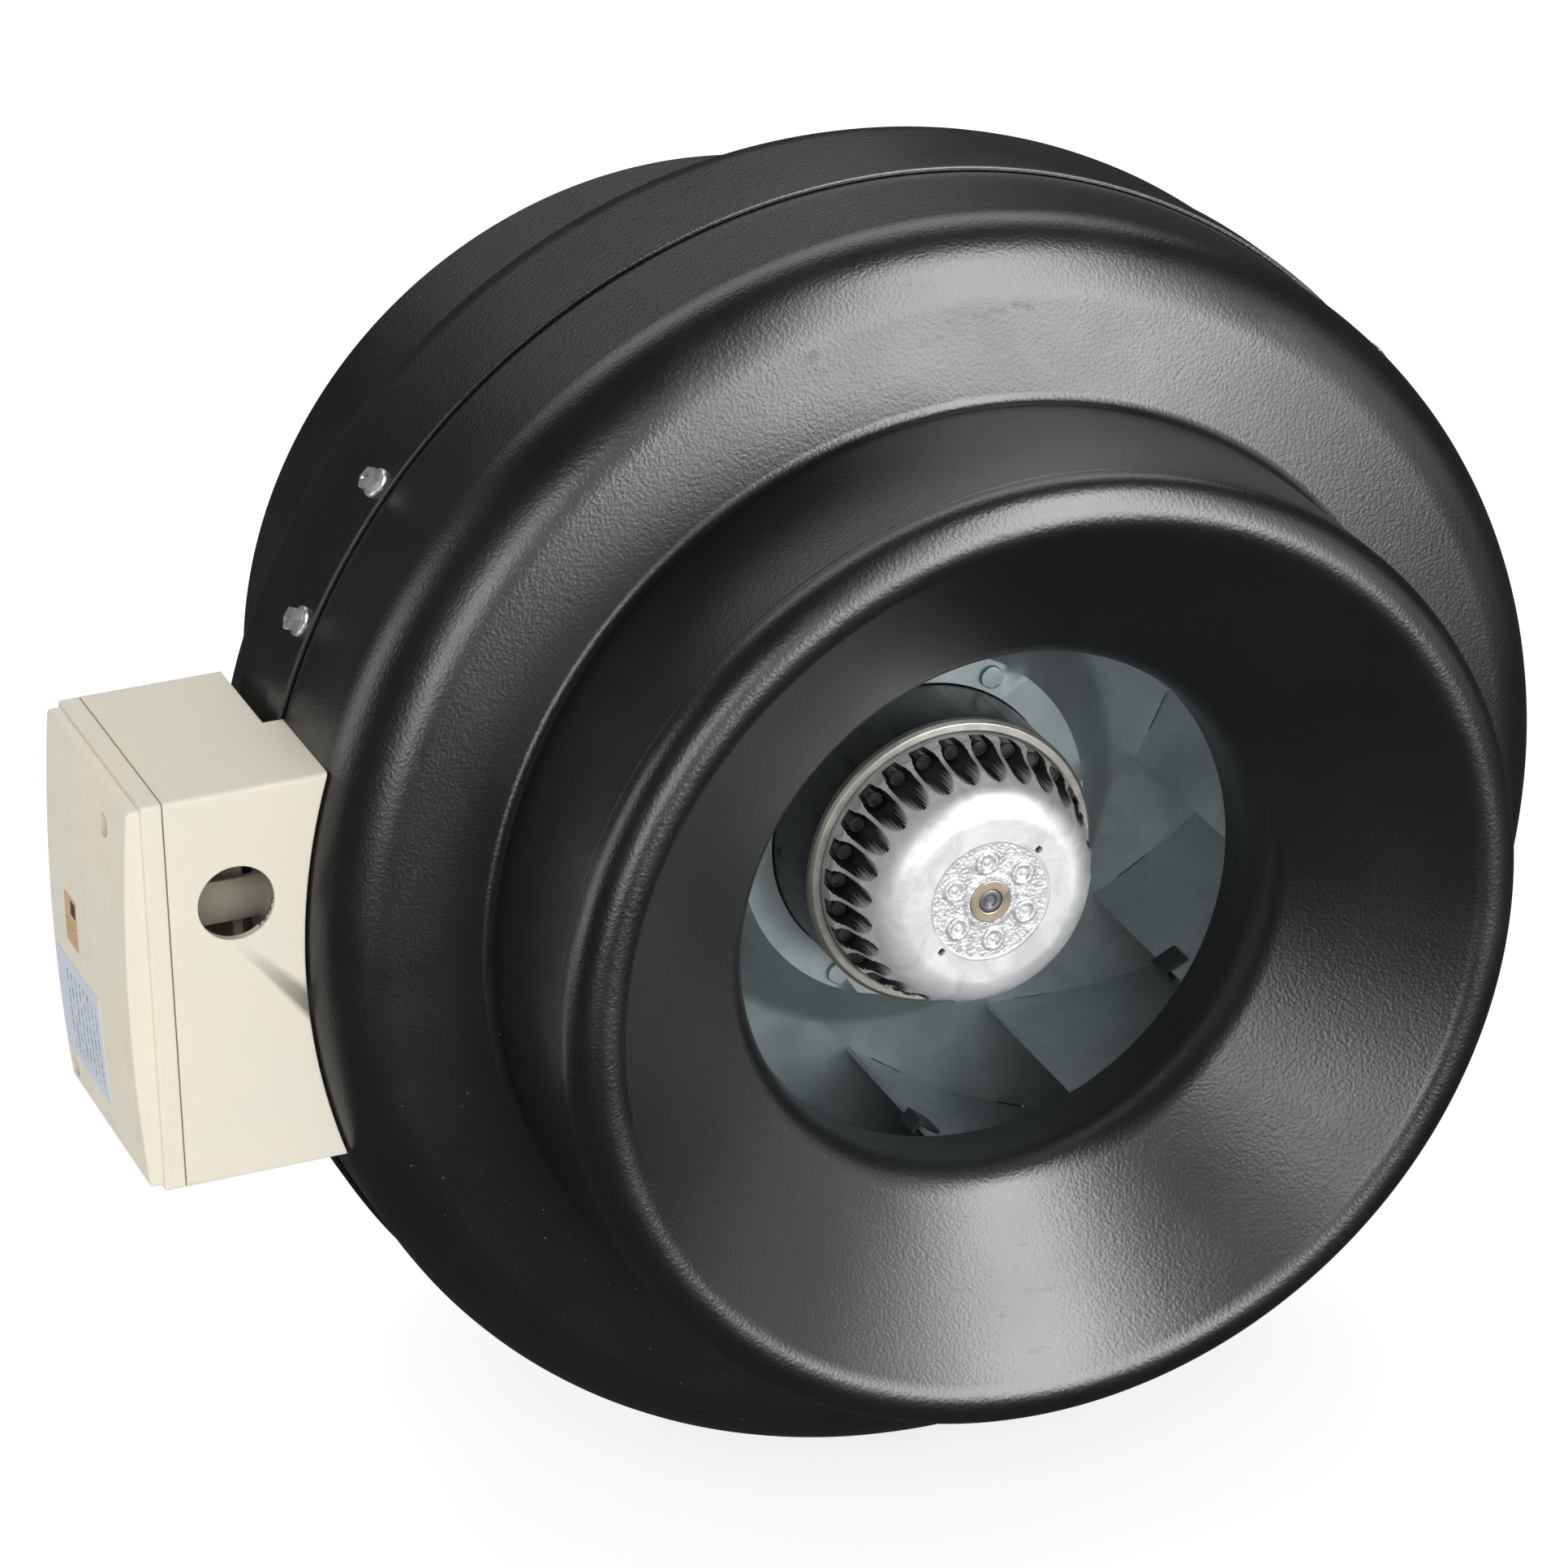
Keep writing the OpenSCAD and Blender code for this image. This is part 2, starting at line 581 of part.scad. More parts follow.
// foam strip that closes the seam from inside
module cover_gasket() color("#3b3b3b") difference() {
  between([seam_x - 1.5, box_y0 + box_wall, -box_h / 2 + box_wall],
    [seam_x - gap, box_y1 - box_wall, box_h / 2 - box_wall]);
  between([seam_x - 3, box_y0 + box_wall + 2, -box_h / 2 + box_wall + 2],
    [seam_x + 1, box_y1 - box_wall - 2, box_h / 2 - box_wall - 2]);
  between([seam_x - 3, 108, -60], [seam_x + 1, 130, -40.5]);
}

// a thin skin on the bulged panel between two heights and two depths
module skin(y0, y1, z0, z1, t = 0.2) intersection() {
  between([face_x - bulge - 2, y0, z0], [seam_x, y1, z1]);
  difference() {
    translate([face_x - bulge + bulge_r - t, 0, 0]) disc(bulge_r, 40, 130);
    translate([face_x - bulge + bulge_r, 0, 0]) disc(bulge_r, 39, 131);
  }
}

module rating_label() color("#d3dbe6") skin(80, 115.5, -40.5, -11.5);
module inspection_sticker() color("#cfa878") skin(94.5, 104, -5.5, 7.8);

// ---- one line per node ---------------------------------------------------------------------

front_casing();
inlet_nozzle();
rear_casing();
casing_screws();
motor_bracket();
bracket_bolts();
stator_flange();
stator_core();
stator_windings();
front_bearing();
rear_bearing();
terminal_box_base();
box_screws();
terminal_block();
terminal_screws();
capacitor();
capacitor_clamp();
lead_grommet();
motor_lead();
earth_screw();
rotor_can();
rotor_rim();
rotor_end_cap();
rotor_core();
shaft_bush();
motor_shaft();
shaft_circlip();
impeller_back_plate();
impeller_shroud();
impeller_blade(1);  // impeller_blade_1
impeller_blade(2);  // impeller_blade_2
impeller_blade(3);  // impeller_blade_3
impeller_blade(4);  // impeller_blade_4
impeller_blade(5);  // impeller_blade_5
impeller_blade(6);  // impeller_blade_6
impeller_blade(7);  // impeller_blade_7
impeller_blade(8);  // impeller_blade_8
impeller_blade(9);  // impeller_blade_9
impeller_blade(10);  // impeller_blade_10
impeller_blade(11);  // impeller_blade_11
hub_rivets();
balance_clips();
terminal_box_cover();
cover_screws();
cover_gasket();
rating_label();
inspection_sticker();
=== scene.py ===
"""Finished look of an inline duct fan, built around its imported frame. Lengths are in metres."""

import json
import math

import bmesh
import bpy
import numpy as np
from mathutils import Matrix, Vector


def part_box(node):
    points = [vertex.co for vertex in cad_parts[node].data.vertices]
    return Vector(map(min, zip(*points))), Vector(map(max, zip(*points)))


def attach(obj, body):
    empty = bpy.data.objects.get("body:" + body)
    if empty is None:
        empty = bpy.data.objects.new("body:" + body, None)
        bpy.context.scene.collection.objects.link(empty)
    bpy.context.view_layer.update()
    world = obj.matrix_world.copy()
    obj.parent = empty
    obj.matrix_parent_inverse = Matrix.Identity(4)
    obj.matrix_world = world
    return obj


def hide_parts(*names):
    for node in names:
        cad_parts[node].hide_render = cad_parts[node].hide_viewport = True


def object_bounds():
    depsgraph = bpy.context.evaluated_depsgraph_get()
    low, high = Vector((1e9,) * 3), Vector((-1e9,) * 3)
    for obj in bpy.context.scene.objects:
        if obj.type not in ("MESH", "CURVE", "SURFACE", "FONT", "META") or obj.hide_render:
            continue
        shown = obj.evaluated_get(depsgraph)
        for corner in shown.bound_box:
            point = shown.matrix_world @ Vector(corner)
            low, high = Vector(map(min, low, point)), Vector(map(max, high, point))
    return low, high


bl_info = {
    "name": "Inline duct fan",
    "version": (1, 0, 0),
    "blender": (4, 5, 0),
    "location": "3D view > Sidebar > Duct fan",
    "description": "Builds the finished pieces of an inline duct fan around its frame",
    "category": "Object",
}

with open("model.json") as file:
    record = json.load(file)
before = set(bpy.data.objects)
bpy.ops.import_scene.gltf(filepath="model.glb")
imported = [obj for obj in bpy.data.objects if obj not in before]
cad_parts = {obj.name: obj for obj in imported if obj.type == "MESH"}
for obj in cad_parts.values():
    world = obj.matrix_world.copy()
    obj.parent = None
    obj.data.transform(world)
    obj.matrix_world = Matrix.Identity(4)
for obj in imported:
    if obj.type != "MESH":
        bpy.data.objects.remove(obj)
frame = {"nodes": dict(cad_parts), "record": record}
FRAME_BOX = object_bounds()
MM = 0.001
SLOT_COLOURS = {m["slot"]: tuple(m["base_color"]) for m in frame["record"]["materials"]}


def high(node):
    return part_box(node)[1]


def low(node):
    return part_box(node)[0]


# ---- sizes and colours that a user may change -------------------------------------------------


def length(title, text, value):
    return bpy.props.FloatProperty(
        name=title, description=text, default=value, unit="LENGTH", precision=5
    )


def angle(title, text, degrees):
    return bpy.props.FloatProperty(
        name=title, description=text, default=math.radians(degrees), subtype="ANGLE"
    )


def share(title, text, value, top=1.0):
    return bpy.props.FloatProperty(
        name=title, description=text, default=value, min=0.0, max=top, subtype="FACTOR"
    )


def count(title, text, value):
    return bpy.props.IntProperty(name=title, description=text, default=value, min=1)


def colour(title, text, slot):
    return bpy.props.FloatVectorProperty(
        name=title, description=text, default=SLOT_COLOURS[slot], size=3,
        min=0.0, max=1.0, subtype="COLOR",
    )


class DuctFanCasingSizes(bpy.types.PropertyGroup):
    spigot_r: length("Spigot radius", "Outer radius of both duct spigots", 124.5 * MM)
    casing_r: length("Casing radius", "Largest radius of the shells", high("front_casing").x)
    sheet: length("Sheet", "Thickness of the shells' sheet", 1.2 * MM)
    lip_y: length("Lip station", "Front of the rolled lip", low("inlet_nozzle").y)
    face_y: length("Face station", "Front face of the casing", 32.5 * MM)
    back_y: length("Back station", "Rear face of the casing", 141.5 * MM)
    end_y: length("End station", "Edge of the outlet spigot", high("rear_casing").y)
    root_r: length("Root radius", "Inner corner between spigot and face", 3 * MM)
    shoulder_r: length("Shoulder radius", "Rounding of the casing's shoulders", 20 * MM)
    face_tilt: angle("Face slope", "Slope of the faces between spigot and shoulder", 9.8)
    band_y: length("Band station", "Front edge of the overlap band", low("rear_casing").y)
    band_w: length("Band width", "Width of the overlap band", 10 * MM)
    band_lift: length("Band lift", "How far the band stands off the shell", 1.3 * MM)
    lip_r: length("Lip radius", "Radius of the rolled lip", 8.6 * MM)
    lip_turn: angle("Lip turn", "Where the lip meets the cone", 235.3)
    throat_r: length("Throat radius", "Inner radius of the throat", 68 * MM)
    throat_round: length("Throat rounding", "Rounding from cone to throat", 14 * MM)
    throat_y: length("Throat station", "Rear edge of the throat", high("inlet_nozzle").y)


class DuctFanScrewSizes(bpy.types.PropertyGroup):
    washer_r: length("Washer radius", "Radius of the screw's washer", 3.9 * MM)
    washer_h: length("Washer height", "Thickness of the washer", 0.9 * MM)
    across_flats: length("Across flats", "Width of the hexagon", 5.5 * MM)
    head_h: length("Head height", "Height of the hexagon", 2.7 * MM)
    shank_r: length("Shank radius", "Radius of the thread", 1.75 * MM)
    groups: count("Pairs", "Screw pairs around the casing", 3)
    first: angle("First pair", "Angle of the first pair from +X to +Z", 27.2)
    spread: angle("Spread", "Angle between the two screws of a pair", 13.3)


class DuctFanMotorSizes(bpy.types.PropertyGroup):
    rim_y: length("Rim station", "Front of the bare rim", low("rotor_rim").y)
    rim_r: length("Rim radius", "Outer radius of the bare rim", high("rotor_rim").x)
    cap_y: length("Cap station", "Front face of the end cap", low("rotor_end_cap").y)
    bush_r: length("Bush radius", "Radius of the ring round the shaft", 5.56 * MM)
    flat_r: length("Cap flat", "Radius of the cap's flat face", 21.4 * MM)
    pockets: count("Pockets", "Pockets around the end cap", 27)
    pocket_r: length("Pocket radius", "Half the width of a pocket", 3.1 * MM)
    pocket_at: length("Pocket circle", "Radius of the circle through the pockets", 32.7 * MM)
    pin_r: length("Pin radius", "Radius of the pins in the pockets", 2.1 * MM)


class DuctFanWheelSizes(bpy.types.PropertyGroup):
    blades: count("Blades", "Number of blades", 11)
    eye_r: length("Eye radius", "Radius over the leading edges", 69.5 * MM)
    wheel_r: length("Wheel radius", "Outer radius of the wheel", 112.5 * MM)
    plate_y: length("Plate station", "Front of the back plate", 83 * MM)
    front_y: length("Blade front", "Front end of the leading edges", 30.5 * MM)
    blade_in: angle("Inlet angle", "Blade angle at the leading edge", 30)
    blade_out: angle("Outlet angle", "Blade angle at the trailing edge", 42)
    first: angle("First blade", "Angle of the first leading edge", -1.8)
    sheet: length("Blade sheet", "Thickness of a blade", 1.2 * MM)
    shroud_r: length("Shroud radius", "Inner radius of the shroud ring", 71.2 * MM)
    shroud_y: length("Shroud station", "Front edge of the shroud ring", low("impeller_shroud").y)
    shroud_round: length("Shroud rounding", "Rounding of the shroud", 9 * MM)
    shroud_slope: angle("Shroud slope", "Slope of the shroud's cone", 12)


class DuctFanBoxSizes(bpy.types.PropertyGroup):
    seam_x: length("Seam", "Station of the seam between base and cover",
                   high("terminal_box_cover").x)
    rim: length("Rim", "Height of the cover's rim", 5.1 * MM)
    panel: length("Panel", "How far the panel's ends stand out of the rim", 3.2 * MM)
    bulge: length("Bulge", "How far the panel's middle stands out of its ends", 2.5 * MM)
    inset: length("Inset", "Step from rim to panel", 1.2 * MM)
    wall: length("Wall", "Wall thickness", 2.3 * MM)
    front_y: length("Front", "Front wall of the box", low("terminal_box_cover").y)
    back_y: length("Back", "Rear wall of the box", high("terminal_box_cover").y)
    half_h: length("Half height", "Half the height of the box", high("terminal_box_cover").z)


class DuctFanColours(bpy.types.PropertyGroup):
    paint: colour("Casing paint", "Textured powder coat", "casing_paint")
    galvanised: colour("Galvanised sheet", "Impeller and bracket", "galvanised")
    casting: colour("Cast aluminium", "Rotor end cap", "aluminium_cast")
    zinc: colour("Zinc", "Screws", "zinc")
    motor_black: colour("Motor black", "Rotor can", "motor_black")
    rim: colour("Turned rim", "Bare rim of the rotor", "rim_steel")
    brass: colour("Brass", "Bush and terminal screws", "brass")
    plastic: colour("Box plastic", "Terminal box", "box_plastic")
    label: colour("Label film", "Rating label", "label_film")
    sticker: colour("Sticker", "Inspection sticker", "sticker_paper")


class DuctFanStudio(bpy.types.PropertyGroup):
    azimuth: angle("Azimuth", "Camera angle round the fan", -21.83)
    elevation: angle("Elevation", "Camera angle above the floor", 25.34)
    roll: angle("Roll", "Camera roll", -1.18)
    lens: bpy.props.FloatProperty(
        name="Lens", description="Focal length in millimetres", default=149.7,
        subtype="DISTANCE_CAMERA"
    )
    ambient: share("Ambient", "Soft light from all sides", 0.62, 4.0)
    reflections: share("Reflections", "Strength of the soft boxes in a reflection", 1.0, 4.0)
    mirrored: share("Mirrored", "How bright the surroundings look in a reflection", 0.06, 4.0)
    floor_glow: share("Floor glow", "Keeps the floor pale", 0.78, 4.0)
    camera_x: length("Camera X", "Camera place", -576.3 * MM)
    camera_y: length("Camera Y", "Camera place", -1285.9 * MM)
    camera_z: length("Camera Z", "Camera place", 707.8 * MM)


GROUPS = {
    "duct_fan_casing": DuctFanCasingSizes,
    "duct_fan_screws": DuctFanScrewSizes,
    "duct_fan_motor": DuctFanMotorSizes,
    "duct_fan_wheel": DuctFanWheelSizes,
    "duct_fan_box": DuctFanBoxSizes,
    "duct_fan_colours": DuctFanColours,
    "duct_fan_studio": DuctFanStudio,
}


# ---- finishes ---------------------------------------------------------------------------------


class Finish:
    """A procedural finish on object coordinates."""

    def __init__(self, name, base, metallic=0.0, roughness=0.5):
        self.material = bpy.data.materials.new(name)
        self.material.use_nodes = True
        tree = self.material.node_tree
        self.nodes, self.links = tree.nodes, tree.links
        self.shader = self.nodes["Principled BSDF"]
        self.set("Base Color", (*base, 1.0))
        self.set("Metallic", metallic)
        self.set("Roughness", roughness)
        self.place = self.nodes.new("ShaderNodeTexCoord").outputs["Object"]
        self.height = None

    def set(self, socket, value):
        self.shader.inputs[socket].default_value = value

    def join(self, value, socket):
        if isinstance(value, bpy.types.NodeSocket):
            self.links.new(value, socket)
        else:
            socket.default_value = value

    def scaled(self, scale, turn=(0, 0, 0)):
        node = self.nodes.new("ShaderNodeMapping")
        node.inputs["Scale"].default_value = scale
        node.inputs["Rotation"].default_value = turn
        self.links.new(self.place, node.inputs["Vector"])
        return node.outputs["Vector"]

    def noise(self, scale, detail=2.0, roughness=0.5, vector=None, distortion=0.0):
        node = self.nodes.new("ShaderNodeTexNoise")
        self.links.new(vector or self.place, node.inputs["Vector"])
        node.inputs["Scale"].default_value = scale
        node.inputs["Detail"].default_value = detail
        node.inputs["Roughness"].default_value = roughness
        node.inputs["Distortion"].default_value = distortion
        return node.outputs["Fac"]

    def cells(self, scale, output="Distance", feature="F1"):
        node = self.nodes.new("ShaderNodeTexVoronoi")
        node.feature = feature
        self.links.new(self.place, node.inputs["Vector"])
        node.inputs["Scale"].default_value = scale
        return node.outputs[output]

    def spread(self, value, low_in, high_in, low_out=0.0, high_out=1.0):
        node = self.nodes.new("ShaderNodeMapRange")
        node.inputs["From Min"].default_value = low_in
        node.inputs["From Max"].default_value = high_in
        node.inputs["To Min"].default_value = low_out
        node.inputs["To Max"].default_value = high_out
        self.links.new(value, node.inputs["Value"])
        return node.outputs["Result"]

    def math(self, kind, a, b=0.0):
        node = self.nodes.new("ShaderNodeMath")
        node.operation = kind
        self.join(a, node.inputs[0])
        self.join(b, node.inputs[1])
        return node.outputs[0]

    def mix(self, factor, a, b):
        node = self.nodes.new("ShaderNodeMix")
        node.data_type = "RGBA"
        self.join(factor, node.inputs["Factor"])
        for value, socket in ((a, node.inputs[6]), (b, node.inputs[7])):
            self.join((*value, 1.0) if isinstance(value, tuple) else value, socket)
        return node.outputs[2]

    def axis(self, index):
        node = self.nodes.new("ShaderNodeSeparateXYZ")
        self.links.new(self.place, node.inputs[0])
        return node.outputs[index]

    def colour(self, value):
        self.links.new(value, self.shader.inputs["Base Color"])

    def rough(self, value):
        self.links.new(value, self.shader.inputs["Roughness"])

    def soften_edges(self, radius):
        node = self.nodes.new("ShaderNodeBevel")
        node.samples = 4
        node.inputs["Radius"].default_value = radius
        self.height = node.outputs["Normal"]
        self.links.new(self.height, self.shader.inputs["Normal"])

    def bump(self, value, distance, strength=1.0):
        node = self.nodes.new("ShaderNodeBump")
        node.inputs["Distance"].default_value = distance
        node.inputs["Strength"].default_value = strength
        self.links.new(value, node.inputs["Height"])
        if self.height is not None:
            self.links.new(self.height, node.inputs["Normal"])
        self.height = node.outputs["Normal"]
        self.links.new(self.height, self.shader.inputs["Normal"])


def tinted(base, by):
    return tuple(min(1.0, c * by) for c in base)


def powder_coat(name, base):
    """Black powder coat: orange-peel relief, faint cloudiness, a few dust specks and rub marks."""
    f = Finish(name, base, 0.0, 0.42)
    f.set("Specular IOR Level", 0.75)
    base = tinted(base, 0.34)
    cloud = f.noise(14, 3)
    specks = f.spread(f.cells(230), 0.035, 0.06, 1.0, 0.0)
    rare = f.spread(f.noise(9, 1), 0.60, 0.66)
    dust = f.math("MULTIPLY", specks, rare)
    body = f.mix(f.spread(cloud, 0.35, 0.65), tinted(base, 0.85), tinted(base, 1.2))
    f.colour(f.mix(f.math("MULTIPLY", dust, 0.7), body, (0.30, 0.30, 0.28)))
    rub = f.spread(f.noise(60, 4, 0.7, f.scaled((1, 9, 1), (0.3, 0.2, 0.5))), 0.62, 0.75, 0.0, 0.12)
    f.rough(f.math("ADD", f.spread(f.noise(35, 2), 0.3, 0.7, 0.29, 0.35), rub))
    f.bump(f.noise(1150, 2.5, 0.45), 0.00015, 0.6)
    f.bump(f.noise(1900, 2, 0.5), 0.00006, 0.4)
    return f.material


def galvanised_sheet(name, base):
    """Matt grey-green zinc on steel sheet with a faint spangle and cloudy stains."""
    f = Finish(name, base, 0.45, 0.48)
    spangle = f.cells(170, "Color")
    grey = f.nodes.new("ShaderNodeRGBToBW")
    f.links.new(spangle, grey.inputs[0])
    stain = f.noise(26, 5, 0.6, distortion=0.4)
    tone = f.mix(f.spread(grey.outputs[0], 0.1, 0.9), tinted(base, 0.93), tinted(base, 1.07))
    f.colour(f.mix(f.spread(stain, 0.45, 0.75, 0.0, 0.55), tone, tinted(base, 0.72)))
    f.rough(f.spread(f.noise(120, 3), 0.3, 0.7, 0.40, 0.54))
    f.bump(f.noise(900, 3, 0.6), 0.00003, 0.35)
    return f.material


def die_cast(name, base):
    """Bright die-cast aluminium with flow marks, a fine grain and small pits."""
    f = Finish(name, tinted(base, 0.66), 0.40, 0.46)
    flow = f.noise(90, 5, 0.65, distortion=1.2)
    f.colour(f.mix(f.spread(flow, 0.35, 0.7), tinted(base, 0.80), tinted(base, 1.12)))
    f.rough(f.spread(f.noise(260, 4, 0.6), 0.3, 0.7, 0.38, 0.54))
    pits = f.spread(f.cells(900), 0.06, 0.16)
    f.bump(pits, 0.00008, 0.3)
    f.bump(f.noise(1500, 3, 0.6), 0.00007, 0.5)
    return f.material


def granular_cast(name, base):
    """The same casting where it is left rough and granular."""
    f = Finish(name, tinted(base, 0.64), 0.40, 0.42)
    f.colour(f.mix(f.spread(f.noise(700, 3), 0.35, 0.65), tinted(base, 0.65), tinted(base, 1.1)))
    f.rough(f.spread(f.noise(500, 3), 0.3, 0.7, 0.30, 0.5))
    f.bump(f.cells(1250), 0.00020, 0.55)
    return f.material


def metal(name, base, roughness, brush=None, stain=0.2):
    """Bare metal: brush marks about the fan axis or a plain fine grain, with cloudy wear."""
    f = Finish(name, base, 0.7, roughness)
    cloud = f.noise(160, 4, 0.6)
    f.colour(f.mix(f.spread(cloud, 0.35, 0.7), tinted(base, 1.0 - stain),
                   tinted(base, 1.0 + stain / 2)))
    f.rough(f.spread(f.noise(420, 3), 0.3, 0.7, roughness * 0.8, roughness * 1.25))
    if brush == "turned":
        x, z = f.axis(0), f.axis(2)
        r = f.math("SQRT", f.math("ADD", f.math("MULTIPLY", x, x), f.math("MULTIPLY", z, z)))
        wave = f.math("SINE", f.math("MULTIPLY", f.math("ADD", r, f.axis(1)), 21000.0))
        f.bump(wave, 0.000012, 0.5)
    f.bump(f.noise(2200, 2), 0.00002, 0.35)
    return f.material


def gloss_black(name, base):
    """Semi-gloss black on the motor, with lengthwise streaks of dust and painted sheen that lighten
    the colour and change the roughness.
    """
    f = Finish(name, base, 0.0, 0.30)
    dust_and_sheen = f.noise(300, 3, 0.6, f.scaled((1, 0.08, 1)))
    # the streaks lighten the colour: dust, and painted sheen along the can
    f.colour(f.mix(f.spread(dust_and_sheen, 0.4, 0.75), base, tinted(base, 3.2)))
    f.rough(f.spread(dust_and_sheen, 0.3, 0.7, 0.24, 0.42))
    f.bump(f.noise(1100, 2), 0.00004, 0.4)
    return f.material


def moulded(name, base, roughness=0.5, grain=0.35, edge=0.0005, warm=(1.02, 1.0, 0.95)):
    """Moulded plastic with a fine spark texture and soft edges."""
    f = Finish(name, base, 0.0, roughness)
    f.set("Specular IOR Level", 0.42)
    if edge:
        f.soften_edges(edge)
    cloud = f.noise(22, 3)
    warmed = tuple(c * w for c, w in zip(base, warm))
    f.colour(f.mix(f.spread(cloud, 0.35, 0.65), tinted(base, 0.985), warmed))
    f.rough(f.spread(f.noise(180, 3), 0.3, 0.7, roughness - 0.06, roughness + 0.07))
    f.bump(f.noise(2600, 2, 0.5), 0.00006, grain)
    return f.material


def copper_wire(name, base):
    """Enamelled turns laid side by side."""
    f = Finish(name, base, 0.9, 0.3)
    turns = f.noise(1900, 1, 0.4, f.scaled((1, 0.12, 1)))
    f.colour(f.mix(f.spread(turns, 0.35, 0.65), tinted(base, 0.55), tinted(base, 1.15)))
    f.bump(turns, 0.0003, 0.8)
    return f.material


def stacked_sheets(name, base):
    """Laminations: fine parallel lines across the fan axis."""
    f = Finish(name, base, 0.9, 0.45)
    lines = f.math("SINE", f.math("MULTIPLY", f.axis(1), 12566.0))
    f.colour(f.mix(f.spread(lines, -0.9, 0.2), tinted(base, 0.55), tinted(base, 1.05)))
    f.rough(f.spread(f.noise(300, 3), 0.3, 0.7, 0.36, 0.55))
    f.bump(lines, 0.00004, 0.6)
    return f.material


def printed_film(name, base):
    """Label film with ruled lines and blocks of generic marks."""
    f = Finish(name, base, 0.0, 0.33)
    y, z = f.axis(1), f.axis(2)
    rows = f.math("FRACT", f.math("MULTIPLY", y, 300.0))
    row_ink = f.math("LESS_THAN", rows, 0.24)
    dashes = f.spread(f.noise(900, 0, 0.5, f.scaled((1, 0.42, 1))), 0.46, 0.50)
    ink = f.math("MULTIPLY", row_ink, f.math("ADD", f.math("MULTIPLY", dashes, 0.8), 0.2))
    keep_low = f.math("GREATER_THAN", z, -0.0375)
    keep_high = f.math("LESS_THAN", z, -0.0150)
    keep_side = f.math("LESS_THAN", y, 0.108)
    keep_near = f.math("GREATER_THAN", y, 0.0835)
    for keep in (keep_low, keep_high, keep_side, keep_near):
        ink = f.math("MULTIPLY", ink, keep)
    f.colour(f.mix(f.math("MULTIPLY", ink, 0.8), base, (0.10, 0.12, 0.17)))
    f.rough(f.spread(f.noise(150, 2), 0.3, 0.7, 0.28, 0.40))
    f.bump(f.noise(700, 2), 0.00002, 0.25)
    return f.material


def printed_sticker(name, base):
    """Tan sticker with a dark square and a few generic strokes."""
    f = Finish(name, base, 0.0, 0.45)
    y, z = f.axis(1), f.axis(2)
    square = f.math("GREATER_THAN", z, 0.0032)
    for kind, value, limit in (("LESS_THAN", z, 0.0072), ("GREATER_THAN", y, 0.0950),
                               ("LESS_THAN", y, 0.0990)):
        square = f.math("MULTIPLY", square, f.math(kind, value, limit))
    strokes = f.spread(f.noise(1300, 1), 0.56, 0.60)
    for kind, value, limit in (("LESS_THAN", z, 0.0015), ("GREATER_THAN", z, -0.0045)):
        strokes = f.math("MULTIPLY", strokes, f.math(kind, value, limit))
    ink = f.math("MAXIMUM", square, f.math("MULTIPLY", strokes, 0.5))
    f.colour(f.mix(ink, base, (0.07, 0.06, 0.07)))
    f.bump(f.noise(900, 2), 0.00002, 0.3)
    return f.material


def rubber(name, base, roughness=0.6):
    f = Finish(name, base, 0.0, roughness)
    f.colour(f.mix(f.spread(f.noise(80, 3), 0.35, 0.65), tinted(base, 0.8), tinted(base, 1.6)))
    f.rough(f.spread(f.noise(240, 3), 0.3, 0.7, roughness - 0.1, roughness + 0.1))
    f.bump(f.noise(1400, 2), 0.00005, 0.4)
    return f.material


FINISHES = {}


def make_finishes(c):
    FINISHES.update(
        casing_paint=powder_coat("casing powder coat", tuple(c.paint)),
        galvanised=galvanised_sheet("galvanised sheet", tuple(c.galvanised)),
        aluminium_cast=die_cast("die-cast aluminium", tuple(c.casting)),
        granular=granular_cast("granular casting", tuple(c.casting)),
        zinc=metal("bright zinc", tuple(c.zinc), 0.22),
        rim_steel=metal("turned rim steel", tinted(tuple(c.rim), 0.62), 0.36, "turned", 0.12),
        brass=metal("turned brass", (0.36, 0.31, 0.23), 0.36, "turned", 0.15),
        shaft_steel=metal("dark ground steel", SLOT_COLOURS["shaft_steel"], 0.32, "turned"),
        bearing_steel=metal("bearing steel", SLOT_COLOURS["bearing_steel"], 0.2, "turned"),
        clip_steel=metal("blued spring steel", SLOT_COLOURS["clip_steel"], 0.35),
        motor_black=gloss_black("motor black", tuple(c.motor_black)),
        lamination=stacked_sheets("laminations", SLOT_COLOURS["lamination"]),
        copper=copper_wire("enamelled copper", SLOT_COLOURS["copper"]),
        box_plastic=moulded("ivory box plastic", tuple(c.plastic)),
        white_plastic=moulded("white plastic", SLOT_COLOURS["white_plastic"], 0.3, 0.15, 0.0003),
        capacitor_can=moulded("capacitor can", SLOT_COLOURS["capacitor_can"], 0.32, 0.15, 0.0003),
        black_rubber=rubber("black rubber", SLOT_COLOURS["black_rubber"]),
        foam=rubber("seal foam", SLOT_COLOURS["foam"], 0.85),
        label_film=printed_film("label film", tuple(c.label)),
        sticker_paper=printed_sticker("tan sticker", tuple(c.sticker)),
    )


# ---- making meshes ----------------------------------------------------------------------------


def at_angle(r, y, turn):
    return (r * math.cos(turn), y, r * math.sin(turn))


def bend(centre, radius, start, end, steps):
    """Points of an arc in a profile, from one angle to another in radians."""
    return [
        (centre[0] + radius * math.cos(start + (end - start) * i / steps),
         centre[1] + radius * math.sin(start + (end - start) * i / steps))
        for i in range(steps + 1)
    ]


